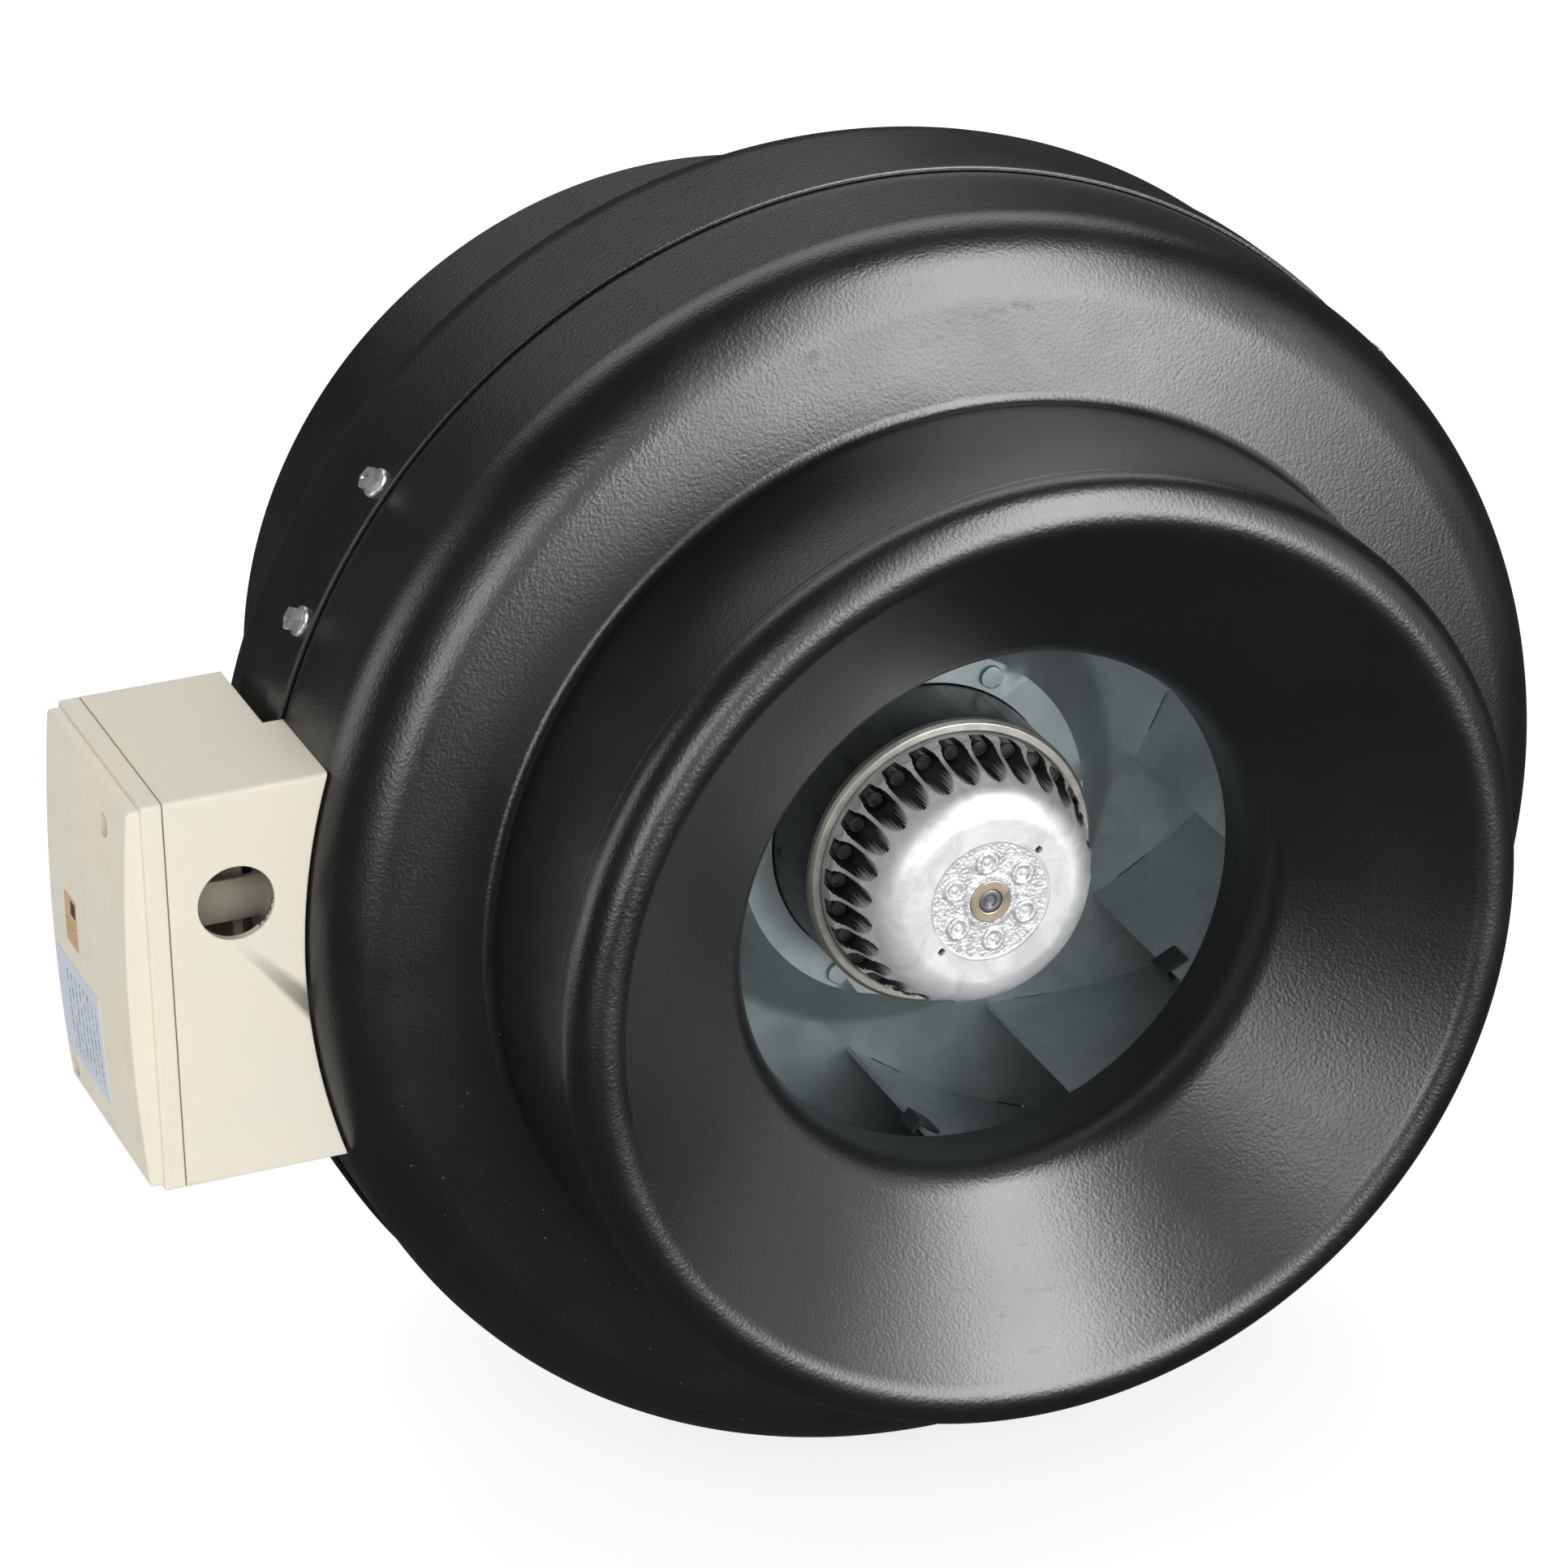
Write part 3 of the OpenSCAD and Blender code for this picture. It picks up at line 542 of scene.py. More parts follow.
def eased(corners, fine=0.14):
    """A closed profile whose corners (r, y, radius) are rounded."""
    points = []
    for i, (r, y, radius) in enumerate(corners):
        here = Vector((r, y))
        before = Vector(corners[i - 1][:2]) - here
        after = Vector(corners[(i + 1) % len(corners)][:2]) - here
        if radius <= 0 or before.length < 1e-9 or after.length < 1e-9:
            points.append((r, y))
            continue
        a, b = before.normalized(), after.normalized()
        between = a.angle(b)
        if between > math.pi - 0.02:
            points.append((r, y))
            continue
        cut = radius / math.tan(between / 2)
        centre = here + (a + b).normalized() * radius / math.sin(between / 2)
        p, q = here + a * cut - centre, here + b * cut - centre
        start = math.atan2(p.y, p.x)
        sweep = math.atan2(p.x * q.y - p.y * q.x, p.dot(q))
        steps = max(2, math.ceil(abs(sweep) / fine))
        points += bend(centre, radius, start, start + sweep, steps)
    return points


def lathe(profile, segments=256, closed=True):
    """Turns a profile of (r, y) points about the fan axis."""
    verts, faces = [], []
    for k in range(segments):
        turn = 2 * math.pi * k / segments
        verts += [at_angle(r, y, turn) for r, y in profile]
    n = len(profile)
    for k in range(segments):
        m = (k + 1) % segments
        for i in range(n if closed else n - 1):
            j = (i + 1) % n
            faces.append((k * n + i, k * n + j, m * n + j, m * n + i))
    return verts, faces


def solid_mesh(name, verts, faces, crease=32):
    """A clean mesh: doubles merged, faces outwards, smooth except at sharp edges."""
    bm = bmesh.new()
    made = [bm.verts.new(v) for v in verts]
    for f in faces:
        try:
            bm.faces.new([made[i] for i in f])
        except ValueError:
            continue
    return tidy_mesh(name, bm, crease)


def tidy_mesh(name, bm, crease=32):
    bmesh.ops.remove_doubles(bm, verts=bm.verts, dist=2e-6)
    bmesh.ops.dissolve_degenerate(bm, dist=1e-7, edges=bm.edges)
    bmesh.ops.recalc_face_normals(bm, faces=bm.faces)
    mesh = bpy.data.meshes.new(name)
    bm.to_mesh(mesh)
    bm.free()
    mesh.shade_smooth()
    mesh.set_sharp_from_angle(angle=math.radians(crease))
    return mesh


def joined(*shapes):
    """Several (verts, faces) shapes as one."""
    verts, faces = [], []
    for v, f in shapes:
        faces += [tuple(i + len(verts) for i in face) for face in f]
        verts += list(v)
    return verts, faces


def fitted(name, mesh, finish, body, nodes=()):
    """Puts a finished mesh in the scene as a piece that rides on a body."""
    piece = bpy.data.objects.new(name, mesh)
    bpy.context.scene.collection.objects.link(piece)
    if not mesh.materials:
        mesh.materials.append(FINISHES[finish])
    shading = piece.modifiers.new("even shading", "WEIGHTED_NORMAL")
    shading.keep_sharp, shading.weight = True, 80
    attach(piece, body)
    if nodes:
        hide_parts(*nodes)
    return piece


def refined(node, finish, body, crease=32):
    """A merged, smooth copy of a frame node that takes its place."""
    bm = bmesh.new()
    bm.from_mesh(frame["nodes"][node].data)
    bmesh.ops.remove_doubles(bm, verts=bm.verts, dist=1e-6)
    mesh = bpy.data.meshes.new(node + "_finished")
    bm.to_mesh(mesh)
    bm.free()
    mesh.shade_smooth()
    mesh.set_sharp_from_angle(angle=math.radians(crease))
    return fitted(node + "_finished", mesh, finish, body, [node])


# ---- a ring of like pieces --------------------------------------------------------------------


def ring_tree():
    """Geometry nodes: copies of a piece about the fan axis, in groups of one or more."""
    tree = bpy.data.node_groups.new("ring of pieces", "GeometryNodeTree")
    face = tree.interface
    face.new_socket("Geometry", in_out="INPUT", socket_type="NodeSocketGeometry")
    for title, kind in (("Groups", "Int"), ("In a group", "Int"), ("First", "Float"),
                        ("Spread", "Float")):
        face.new_socket(title, in_out="INPUT", socket_type="NodeSocket" + kind)
    face.new_socket("Finish", in_out="INPUT", socket_type="NodeSocketMaterial")
    face.new_socket("Geometry", in_out="OUTPUT", socket_type="NodeSocketGeometry")
    nodes, links = tree.nodes, tree.links
    given, out = nodes.new("NodeGroupInput"), nodes.new("NodeGroupOutput")

    def maths(kind, a, b):
        node = nodes.new("ShaderNodeMath")
        node.operation = kind
        for value, socket in ((a, node.inputs[0]), (b, node.inputs[1])):
            if isinstance(value, (int, float)):
                socket.default_value = value
            else:
                links.new(value, socket)
        return node.outputs[0]

    points = nodes.new("GeometryNodePoints")
    links.new(maths("MULTIPLY", given.outputs["Groups"], given.outputs["In a group"]),
              points.inputs["Count"])
    index = nodes.new("GeometryNodeInputIndex").outputs[0]
    group = maths("FLOOR", maths("DIVIDE", maths("ADD", index, 0.01),
                                 given.outputs["In a group"]), 0)
    member = maths("SUBTRACT", index, maths("MULTIPLY", group, given.outputs["In a group"]))
    middle = maths("MULTIPLY", maths("SUBTRACT", given.outputs["In a group"], 1.0), 0.5)
    step = maths("DIVIDE", 2 * math.pi, given.outputs["Groups"])
    aside = maths("MULTIPLY", maths("SUBTRACT", member, middle), given.outputs["Spread"])
    turn = maths("ADD", maths("MULTIPLY", group, step), maths("ADD", aside, given.outputs["First"]))
    rotation = nodes.new("ShaderNodeCombineXYZ")
    links.new(maths("MULTIPLY", turn, -1.0), rotation.inputs["Y"])
    copies = nodes.new("GeometryNodeInstanceOnPoints")
    links.new(points.outputs[0], copies.inputs["Points"])
    links.new(given.outputs["Geometry"], copies.inputs["Instance"])
    links.new(rotation.outputs[0], copies.inputs["Rotation"])
    real = nodes.new("GeometryNodeRealizeInstances")
    links.new(copies.outputs[0], real.inputs[0])
    painted = nodes.new("GeometryNodeSetMaterial")
    links.new(real.outputs[0], painted.inputs["Geometry"])
    links.new(given.outputs["Finish"], painted.inputs["Material"])
    links.new(painted.outputs[0], out.inputs[0])
    return tree


def ring(name, mesh, finish, body, nodes, groups, first=0.0, in_a_group=1, spread=0.0):
    """One piece repeated about the fan axis and turned into a plain mesh."""
    tree = bpy.data.node_groups.get("ring of pieces") or ring_tree()
    seed = bpy.data.objects.new(name + "_one", mesh)
    bpy.context.scene.collection.objects.link(seed)
    modifier = seed.modifiers.new("ring", "NODES")
    modifier.node_group = tree
    values = {
        "Groups": groups, "In a group": in_a_group, "First": first, "Spread": spread,
        "Finish": FINISHES[finish],
    }
    for item in tree.interface.items_tree:
        if item.in_out == "INPUT" and item.name in values:
            modifier[item.identifier] = values[item.name]
    graph = bpy.context.evaluated_depsgraph_get()
    graph.update()
    whole = bpy.data.meshes.new_from_object(seed.evaluated_get(graph))
    whole.name = name
    seed.modifiers.clear()
    bpy.data.objects.remove(seed)
    if len(whole.vertices) < len(mesh.vertices) * groups * in_a_group:
        raise RuntimeError(f"{name}: the ring has too few copies")
    return fitted(name, whole, finish, body, nodes)


# ---- casing -----------------------------------------------------------------------------------


def face_line(s, r, inwards):
    """How deep the sloping face lies at radius r, moved into the casing by a distance."""
    return (r - s.spigot_r) * math.tan(s.face_tilt) + inwards / math.cos(s.face_tilt)


def front_shell(s):
    t = s.sheet
    edge_y, stop_y = s.lip_y + s.lip_r + 2 * MM, s.band_y + s.band_w - 1 * MM
    return eased([
        (s.spigot_r, edge_y, 0.3 * MM), (s.spigot_r, s.face_y, s.root_r),
        (s.casing_r, s.face_y + face_line(s, s.casing_r, 0), s.shoulder_r),
        (s.casing_r, stop_y, 0.3 * MM),
        (s.casing_r - t, stop_y, 0.3 * MM),
        (s.casing_r - t, s.face_y + face_line(s, s.casing_r - t, t), s.shoulder_r - t),
        (s.spigot_r - t, s.face_y + face_line(s, s.spigot_r - t, t), s.root_r + t),
        (s.spigot_r - t, edge_y, 0.3 * MM),
    ], 0.1)


def rear_shell(s):
    t, lap_y = s.sheet, s.band_y + s.band_w
    top = s.casing_r + s.band_lift
    return eased([
        (s.spigot_r, s.end_y, 0.45 * MM), (s.spigot_r, s.back_y, s.root_r),
        (s.casing_r, s.back_y - face_line(s, s.casing_r, 0), s.shoulder_r),
        (s.casing_r, lap_y + 1.3 * MM, 0.4 * MM),
        (top, lap_y + 0.1 * MM, 0.4 * MM), (top, s.band_y, 0.5 * MM),
        (s.casing_r + 0.1 * MM, s.band_y, 0.25 * MM),
        (s.casing_r + 0.1 * MM, lap_y - 0.4 * MM, 0.2 * MM),
        (s.casing_r - t, lap_y + 1.0 * MM, 0.3 * MM),
        (s.casing_r - t, s.back_y - face_line(s, s.casing_r - t, t), s.shoulder_r - t),
        (s.spigot_r - t, s.back_y - face_line(s, s.spigot_r - t, t), s.root_r + t),
        (s.spigot_r - t, s.end_y, 0.45 * MM),
    ], 0.1)


def nozzle_profile(s):
    """Rolled lip over the spigot, a cone and a short throat, with the sheet's thickness."""
    lip = (s.spigot_r - s.lip_r, s.lip_y + s.lip_r)
    centre = (s.throat_r + s.throat_round, s.throat_y - 12 * MM)
    meet = (lip[0] + s.lip_r * math.cos(s.lip_turn), lip[1] + s.lip_r * math.sin(s.lip_turn))
    away = math.dist(meet, centre)
    cone = math.atan2(centre[1] - meet[1], meet[0] - centre[0]) - math.asin(s.throat_round / away)

    def side(t):
        return (
            bend(lip, s.lip_r - t, 0.0, s.lip_turn - 2 * math.pi, 26)
            + bend(centre, s.throat_round - t, -math.pi / 2 - cone, -math.pi, 16)
            + [(s.throat_r + t, s.throat_y)]
        )

    t = s.sheet
    hem = [(s.spigot_r - 2 * t - 0.05 * MM, lip[1] + 1.4 * MM),
           (s.spigot_r - 2 * t - 0.05 * MM, lip[1] + 12 * MM),
           (s.spigot_r - t - 0.05 * MM, lip[1] + 12 * MM),
           (s.spigot_r - t - 0.05 * MM, lip[1] + 1.8 * MM)]
    return [(s.spigot_r, lip[1] + 1.8 * MM)] + side(0.0) + side(t)[::-1] + hem


# ---- screws -----------------------------------------------------------------------------------


def hexagon_screw(s, seat_r, station):
    """Washer-head hexagon screw with a cross recess, head outwards along +X at angle 0."""
    def rod(points, sides, turn=0.0):
        verts, faces = [], []
        for k in range(sides):
            a = turn + 2 * math.pi * k / sides
            verts += [(seat_r + x, station + r * math.sin(a), r * math.cos(a)) for x, r in points]
        n = len(points)
        for k in range(sides):
            m = (k + 1) % sides
            faces += [(k * n + i, k * n + i + 1, m * n + i + 1, m * n + i) for i in range(n - 1)]
        faces.append(tuple(k * n for k in range(sides)))
        faces.append(tuple(k * n + n - 1 for k in reversed(range(sides))))
        return verts, faces

    r, h = s.washer_r, s.washer_h
    flat = s.across_flats / 2 / math.cos(math.pi / 6)
    top = h + s.head_h
    washer = rod([(-0.02 * MM, r - 0.4 * MM), (0.02 * MM, r), (0.35 * h, r),
                  (0.75 * h, r - 0.15 * MM),
                  (h, r - 0.6 * MM), (h, 1.2 * MM)], 40)
    shank = rod([(-8 * MM, s.shank_r * 0.7), (-7 * MM, s.shank_r), (0.1 * MM, s.shank_r)], 24)
    hexagon = rod([(h - 0.05 * MM, flat - 0.1 * MM), (h + 0.15 * MM, flat), (top - 0.45 * MM, flat),
                   (top - 0.12 * MM, flat - 0.42 * MM)], 6, 0.2)
    dome = rod([(top - 0.16 * MM, flat - 0.7 * MM), (top, flat - 1.05 * MM)], 24)
    bm = bmesh.new()
    verts, faces = joined(washer, shank, hexagon, dome)
    made = [bm.verts.new(v) for v in verts]
    for f in faces:
        bm.faces.new([made[i] for i in f])
    body = bpy.data.meshes.new("screw")
    bmesh.ops.recalc_face_normals(bm, faces=bm.faces)
    bm.to_mesh(body)
    bm.free()
    cutter_v, cutter_f = [], []
    for turn in (0.55, 0.55 + math.pi / 2):
        c, n = math.cos(turn), math.sin(turn)
        start = len(cutter_v)
        for x, half in ((seat_r + top - 1.3 * MM, 0.9 * MM), (seat_r + top + 1 * MM, 1.9 * MM)):
            for a, b in ((-half, -0.4 * MM), (half, -0.4 * MM), (half, 0.4 * MM),
                         (-half, 0.4 * MM)):
                cutter_v.append((x, station + a * c - b * n, a * n + b * c))
        for f in ((0, 3, 2, 1), (4, 5, 6, 7), (0, 1, 5, 4), (1, 2, 6, 5), (2, 3, 7, 6),
                  (3, 0, 4, 7)):
            cutter_f.append(tuple(start + i for i in f))
    return carved("screw", body, cutter_v, cutter_f, 30)


def carved(name, mesh, cutter_verts, cutter_faces, crease=32):
    """The mesh less a cutter."""
    body = bpy.data.objects.new(name, mesh)
    cutter = bpy.data.objects.new(name + "_cutter", bpy.data.meshes.new(name + "_cutter"))
    cutter.data.from_pydata(cutter_verts, [], cutter_faces)
    for o in (body, cutter):
        bpy.context.scene.collection.objects.link(o)
    modifier = body.modifiers.new("cut", "BOOLEAN")
    modifier.object, modifier.operation, modifier.solver = cutter, "DIFFERENCE", "EXACT"
    modifier.use_self = True
    graph = bpy.context.evaluated_depsgraph_get()
    graph.update()
    made = bpy.data.meshes.new_from_object(body.evaluated_get(graph))
    for o in (body, cutter):
        bpy.data.objects.remove(o)
    if len(made.polygons) < 4:
        raise RuntimeError(f"{name}: nothing is left after the cut")
    made.name = name
    made.shade_smooth()
    made.set_sharp_from_angle(angle=math.radians(crease))
    return made


# ---- terminal box cover -----------------------------------------------------------------------


def box_outline(b, inset, corner):
    """Points (y, z) round the cover's outline, moved in, with rounded corners."""
    y0, y1, z1 = b.front_y + inset, b.back_y - inset, b.half_h - inset
    corner = max(0.02 * MM, min(corner, (y1 - y0) / 2 - 0.02 * MM))
    points = []
    for cy, cz, turn, along in (
        (y1 - corner, z1 - corner, 0, (0, 12)), (y0 + corner, z1 - corner, 1, (26, 0)),
        (y0 + corner, corner - z1, 2, (0, 12)), (y1 - corner, corner - z1, 3, (26, 0)),
    ):
        for i in range(6):
            a = math.pi / 2 * (turn + i / 5)
            points.append((cy + corner * math.cos(a), cz + corner * math.sin(a)))
        steps = sum(along)
        a = math.pi / 2 * (turn + 1)
        far = {0: (y0 + corner, z1), 1: (y0, corner - z1), 2: (y1 - corner, -z1),
               3: (y1, z1 - corner)}[turn]
        here = points[-1]
        points += [(here[0] + (far[0] - here[0]) * i / steps,
                    here[1] + (far[1] - here[1]) * i / steps)
                   for i in range(1, steps)]
    return points


def box_cover(b):
    """Cover with a rim, a bulged panel and a hollow behind, as one closed shell of outlines."""
    ends = b.half_h - b.inset
    radius = (ends**2 + b.bulge**2) / (2 * b.bulge)
    rim_x = b.seam_x - b.rim
    face_x = rim_x - b.panel

    def face(z):
        return face_x - b.bulge + radius - math.sqrt(radius**2 - z * z)

    edge, soft = 1.2 * MM, 0.7 * MM
    rings = [(b.seam_x - b.rim + 4.0 * MM, 0.0, b.wall, 0.6 * MM),
             (b.seam_x, 0.0, b.wall, 0.6 * MM),
             (b.seam_x, 0.0, 0.15 * MM, edge), (b.seam_x - 0.15 * MM, 0.0, 0.0, edge)]
    rings += [(rim_x + soft * (1 - math.sin(a)), 0.0, soft * (1 - math.cos(a)), edge)
              for a in np.linspace(0, math.pi / 2, 6)]
    rings.append((rim_x, 0.0, b.inset - 0.02 * MM, edge))
    rings += [(soft * (1 - math.sin(a)), 1.0, b.inset + soft * (1 - math.cos(a)), edge)
              for a in np.linspace(0, math.pi / 2, 7)]
    middle = (b.back_y - b.front_y) / 2
    rings += [(0.0, 1.0, inset, edge) for inset in np.linspace(b.inset + 3 * MM,
            middle - 0.1 * MM, 11)]
    inner = [(face_x + 1 * MM, 0.0, middle - 0.1 * MM, edge),
             (face_x + 1 * MM, 0.0, b.wall, 0.6 * MM)]
    verts, faces, size = [], [], 0
    for x, follow, inset, corner in inner + rings:
        outline = box_outline(b, inset, corner)
        size = len(outline)
        verts += [(x + follow * face(min(abs(z), ends)), y, z) for y, z in outline]
    count_rings = len(inner + rings)
    for i in range(count_rings - 1):
        for k in range(size):
            j = (k + 1) % size
            faces.append((i * size + k, i * size + j, (i + 1) * size + j, (i + 1) * size + k))
    faces += [tuple(range(size)), tuple((count_rings - 1) * size + k
                                        for k in reversed(range(size)))]

    def rod(at, stations, sides=40):
        start = len(verts)
        for x, r in stations:
            for k in range(sides):
                a = 2 * math.pi * k / sides
                verts.append((x, at[0] + r * math.cos(a), at[1] + r * math.sin(a)))
        n = len(stations)
        for i in range(n - 1):
            for k in range(sides):
                j = (k + 1) % sides
                faces.append(tuple(start + v for v in (i * sides + k, i * sides + j,
                                                       (i + 1) * sides + j, (i + 1) * sides + k)))
        faces.append(tuple(start + k for k in range(sides)))
        faces.append(tuple(start + (n - 1) * sides + k for k in reversed(range(sides))))

    for at in COVER_SCREWS:
        rod(at, [(face_x + 0.6 * MM, 4.4 * MM), (b.seam_x, 4.4 * MM)])
    body = solid_mesh("terminal_box_cover", verts, faces, 32)
    verts, faces = [], []
    for at in COVER_SCREWS:
        rod(at, [(face_x - 8 * MM, 2.9 * MM), (b.seam_x - 4.7 * MM, 2.9 * MM),
                 (b.seam_x - 4.7 * MM, 1.9 * MM), (b.seam_x + 2 * MM, 1.9 * MM)])
    cutter = solid_mesh("cutter", verts, faces, 32)
    return carved("terminal_box_cover_finished", body, [tuple(v.co) for v in cutter.vertices],
                  [tuple(f.vertices) for f in cutter.polygons])


COVER_SCREWS = ((69.5 * MM, 39.9 * MM), (113 * MM, -45.5 * MM))


# ---- rotor end cap ----------------------------------------------------------------------------


def step(x, a, b):
    """Smooth rise from 0 at a to 1 at b."""
    x = min(1.0, max(0.0, (x - a) / (b - a)))
    return x * x * (3 - 2 * x)


def end_cap(m):
    """Die-cast cap turned from a height rule: flat face, dome, open pockets, dimples and groove.
    The pockets and two small holes are coloured black: painted shade in these recesses.
    """
    pitch = 2 * math.pi / m.pockets
    columns = m.pockets * 28
    flat, outer_r = m.flat_r, 34.75 * MM
    dome_r = 8.4 * MM
    floor_y = m.rim_y - 1.2 * MM
    stations = (
        list(np.arange(m.bush_r, 15.2 * MM, 0.3 * MM))
        + [v * MM for v in (15.25, 15.5, 15.62, 15.8, 15.98, 16.1, 16.35, 16.8, 17.2, 17.6, 18.1,
                            19.0)]
        + list(np.arange(flat, 28.4 * MM, 0.6 * MM))
        + list(np.arange(28.7 * MM, outer_r, 0.22 * MM)) + [outer_r]
    )
    dimples = [math.radians(34 + 60 * i) for i in range(6)]
    holes = [math.radians(a) for a in (41, 221)]

    dome_end = flat + dome_r * math.cos(math.radians(25))
    slope_y = m.cap_y + dome_r * (1 - math.sin(math.radians(25)))
    ring_y = m.rim_y - 4.0 * MM

    def face_y(r):
        if r <= flat:
            return m.cap_y
        if r < dome_end:
            return m.cap_y + dome_r - math.sqrt(max(0.0, dome_r**2 - (r - flat) ** 2))
        return min(ring_y, slope_y + (r - dome_end) * 1.7 + 4.0 * MM * step(r, 31.2 * MM,
                33.0 * MM))

    verts, dark, rough = [], {}, {}
    for k in range(columns):
        turn = 2 * math.pi * k / columns
        offset = (turn + pitch / 2) % pitch - pitch / 2
        for i, r in enumerate(stations):
            y = face_y(r)
            gap = math.hypot(r * math.cos(offset) - m.pocket_at, r * math.sin(offset)) - m.pocket_r
            pocket = 1.0 - step(gap, -0.2 * MM, 0.14 * MM)
            y += (floor_y - y) * pocket
            if 15.55 * MM < r < 16.05 * MM:
                y += 0.35 * MM
            if r < 15.3 * MM:
                y += 0.12 * MM
                for a in dimples:
                    q = math.hypot(r * math.cos(turn) - 10.4 * MM * math.cos(a),
                                   r * math.sin(turn) - 10.4 * MM * math.sin(a))
                    if q < 3.4 * MM:
                        rise = step(q, 3.35 * MM, 2.75 * MM) if q > 2.6 * MM else 1.0
                        y -= 0.7 * MM * rise
                        y += 0.75 * MM * (1.0 - step(q, 1.3 * MM, 2.15 * MM))
                        y -= 0.35 * MM * (1.0 - step(q, 0.45 * MM, 0.95 * MM))
            if r < 7.6 * MM:
                y -= 0.3 * MM * (1.0 - step(r, 6.6 * MM, 7.5 * MM))
            for a in holes:
                q = math.hypot(r * math.cos(turn) - 17.2 * MM * math.cos(a),
                               r * math.sin(turn) - 17.2 * MM * math.sin(a))
                if q < 0.75 * MM:
                    # the two small holes are coloured black: painted shade inside them
                    y += 1.6 * MM
                    dark[k, i] = True
            # pocket walls and floors are coloured black: painted shade of the recesses
            if pocket > 0.12:
                dark[k, i] = True
            elif r < 15.5 * MM:
                rough[k, i] = True
            verts.append(at_angle(r, y, turn))
    n = len(stations)
    back = m.rim_y + 3.5 * MM
    total = len(verts)
    for k in range(columns):
        turn = 2 * math.pi * k / columns
        verts += [at_angle(outer_r, back, turn), at_angle(m.bush_r, back, turn)]
    faces, kinds = [], []
    for k in range(columns):
        j = (k + 1) % columns
        for i in range(n - 1):
            faces.append((k * n + i, j * n + i, j * n + i + 1, k * n + i + 1))
            corners = ((k, i), (j, i), (j, i + 1), (k, i + 1))
            # faces in the pockets and holes take the black finish (index 1): painted shade
            if sum(c in dark for c in corners) >= 2:
                kinds.append(1)
            else:
                kinds.append(2 if all(c in rough for c in corners) else 0)
        a, b = total + 2 * k, total + 2 * j
        faces += [(k * n + n - 1, j * n + n - 1, b, a), (a, b, b + 1, a + 1),
                  (a + 1, b + 1, j * n, k * n)]
        kinds += [0, 0, 0]
    mesh = bpy.data.meshes.new("rotor_end_cap_finished")
    mesh.from_pydata(verts, [], faces)
    # the black finish here paints the shade in the pockets and holes
    for finish in ("aluminium_cast", "motor_black", "granular"):
        mesh.materials.append(FINISHES[finish])
    mesh.polygons.foreach_set("material_index", kinds)
    bm = bmesh.new()
    bm.from_mesh(mesh)
    bmesh.ops.recalc_face_normals(bm, faces=bm.faces)
    bm.to_mesh(mesh)
    bm.free()
    mesh.shade_smooth()
    mesh.set_sharp_from_angle(angle=math.radians(50))
    return mesh


def lathed(name, corners, finish, body, nodes, segments=192, fine=0.2, crease=32):
    verts, faces = lathe(eased([(r * MM, y * MM, c * MM) for r, y, c in corners], fine), segments)
    return fitted(name, solid_mesh(name, verts, faces, crease), finish, body, nodes)


# ---- impeller ---------------------------------------------------------------------------------


def shroud_side(w, t):
    """The shroud's profile on the side of the blades, moved out by t."""
    centre = (w.shroud_r + w.shroud_round, w.shroud_y + 3.5 * MM)
    end_y = (centre[1] + w.shroud_round * math.cos(w.shroud_slope)
             + (w.wheel_r - centre[0] + w.shroud_round * math.sin(w.shroud_slope))
             * math.tan(w.shroud_slope))
    return (
        [(w.shroud_r + t, w.shroud_y)]
        + bend(centre, w.shroud_round - t, math.pi, math.pi / 2 + w.shroud_slope, 14)
        + [(w.wheel_r, end_y - t / math.cos(w.shroud_slope))]
    )


def blade(w):
    """One backward-curved blade, its leading edge at angle 0."""
    bend_r = (w.wheel_r**2 - w.eye_r**2) / (
        2 * (w.wheel_r * math.cos(w.blade_out) - w.eye_r * math.cos(w.blade_in)))
    cx, cz = w.eye_r - bend_r * math.cos(w.blade_in), bend_r * math.sin(w.blade_in)
    side = [p for p in shroud_side(w, 0.0)]

    def front(r):
        if r <= side[0][0] + 0.3 * MM:
            return w.front_y
        for (r0, y0), (r1, y1) in zip(side, side[1:]):
            if r0 <= r <= r1 and r1 > r0:
                return max(w.front_y, y0 + (y1 - y0) * (r - r0) / (r1 - r0))
        return side[-1][1]

    verts, faces = [], []
    lead = math.atan2(-cz, w.eye_r - cx)
    steps, rows = 40, 6
    for half in (-w.sheet / 2, w.sheet / 2):
        for i in range(steps + 1):
            # walk along the bend until the wheel's outer radius
            reach = w.eye_r + (w.wheel_r - 0.4 * MM - w.eye_r) * i / steps
            turn = arc_place(cx, cz, bend_r, reach, lead)
            x, z = cx + (bend_r + half) * math.cos(turn), cz + (bend_r + half) * math.sin(turn)
            top = front(reach)
            for k in range(rows + 1):
                verts.append((x, top + (w.plate_y - top) * k / rows, z))
    n, sheet = rows + 1, (steps + 1) * (rows + 1)
    for i in range(steps):
        for k in range(rows):
            a, b = i * n + k, (i + 1) * n + k
            faces.append((a, b, b + 1, a + 1))
            faces.append((sheet + a, sheet + a + 1, sheet + b + 1, sheet + b))
    edge = ([i * n for i in range(steps + 1)] + [steps * n + k for k in range(1, n)]
            + [i * n + rows for i in range(steps - 1, -1, -1)] + [k for k in range(rows - 1, 0,
                    -1)])
    for a, b in zip(edge, edge[1:] + edge[:1]):
        faces.append((a, b, sheet + b, sheet + a))
    return solid_mesh("blade", verts, faces, 40)


def arc_place(cx, cz, bend_r, reach, lead):
    """Angle on the blade's arc where it is this far from the fan axis."""
    away = math.hypot(cx, cz)
    inner = (reach**2 - away**2 - bend_r**2) / (2 * away * bend_r)
    spread_angle = math.acos(max(-1.0, min(1.0, inner)))
    base = math.atan2(cz, cx)
    options = (base + spread_angle, base - spread_angle)
    return min(options, key=lambda t: abs(math.remainder(t - lead, 2 * math.pi)))


# ---- one operator for each piece or group of like pieces --------------------------------------


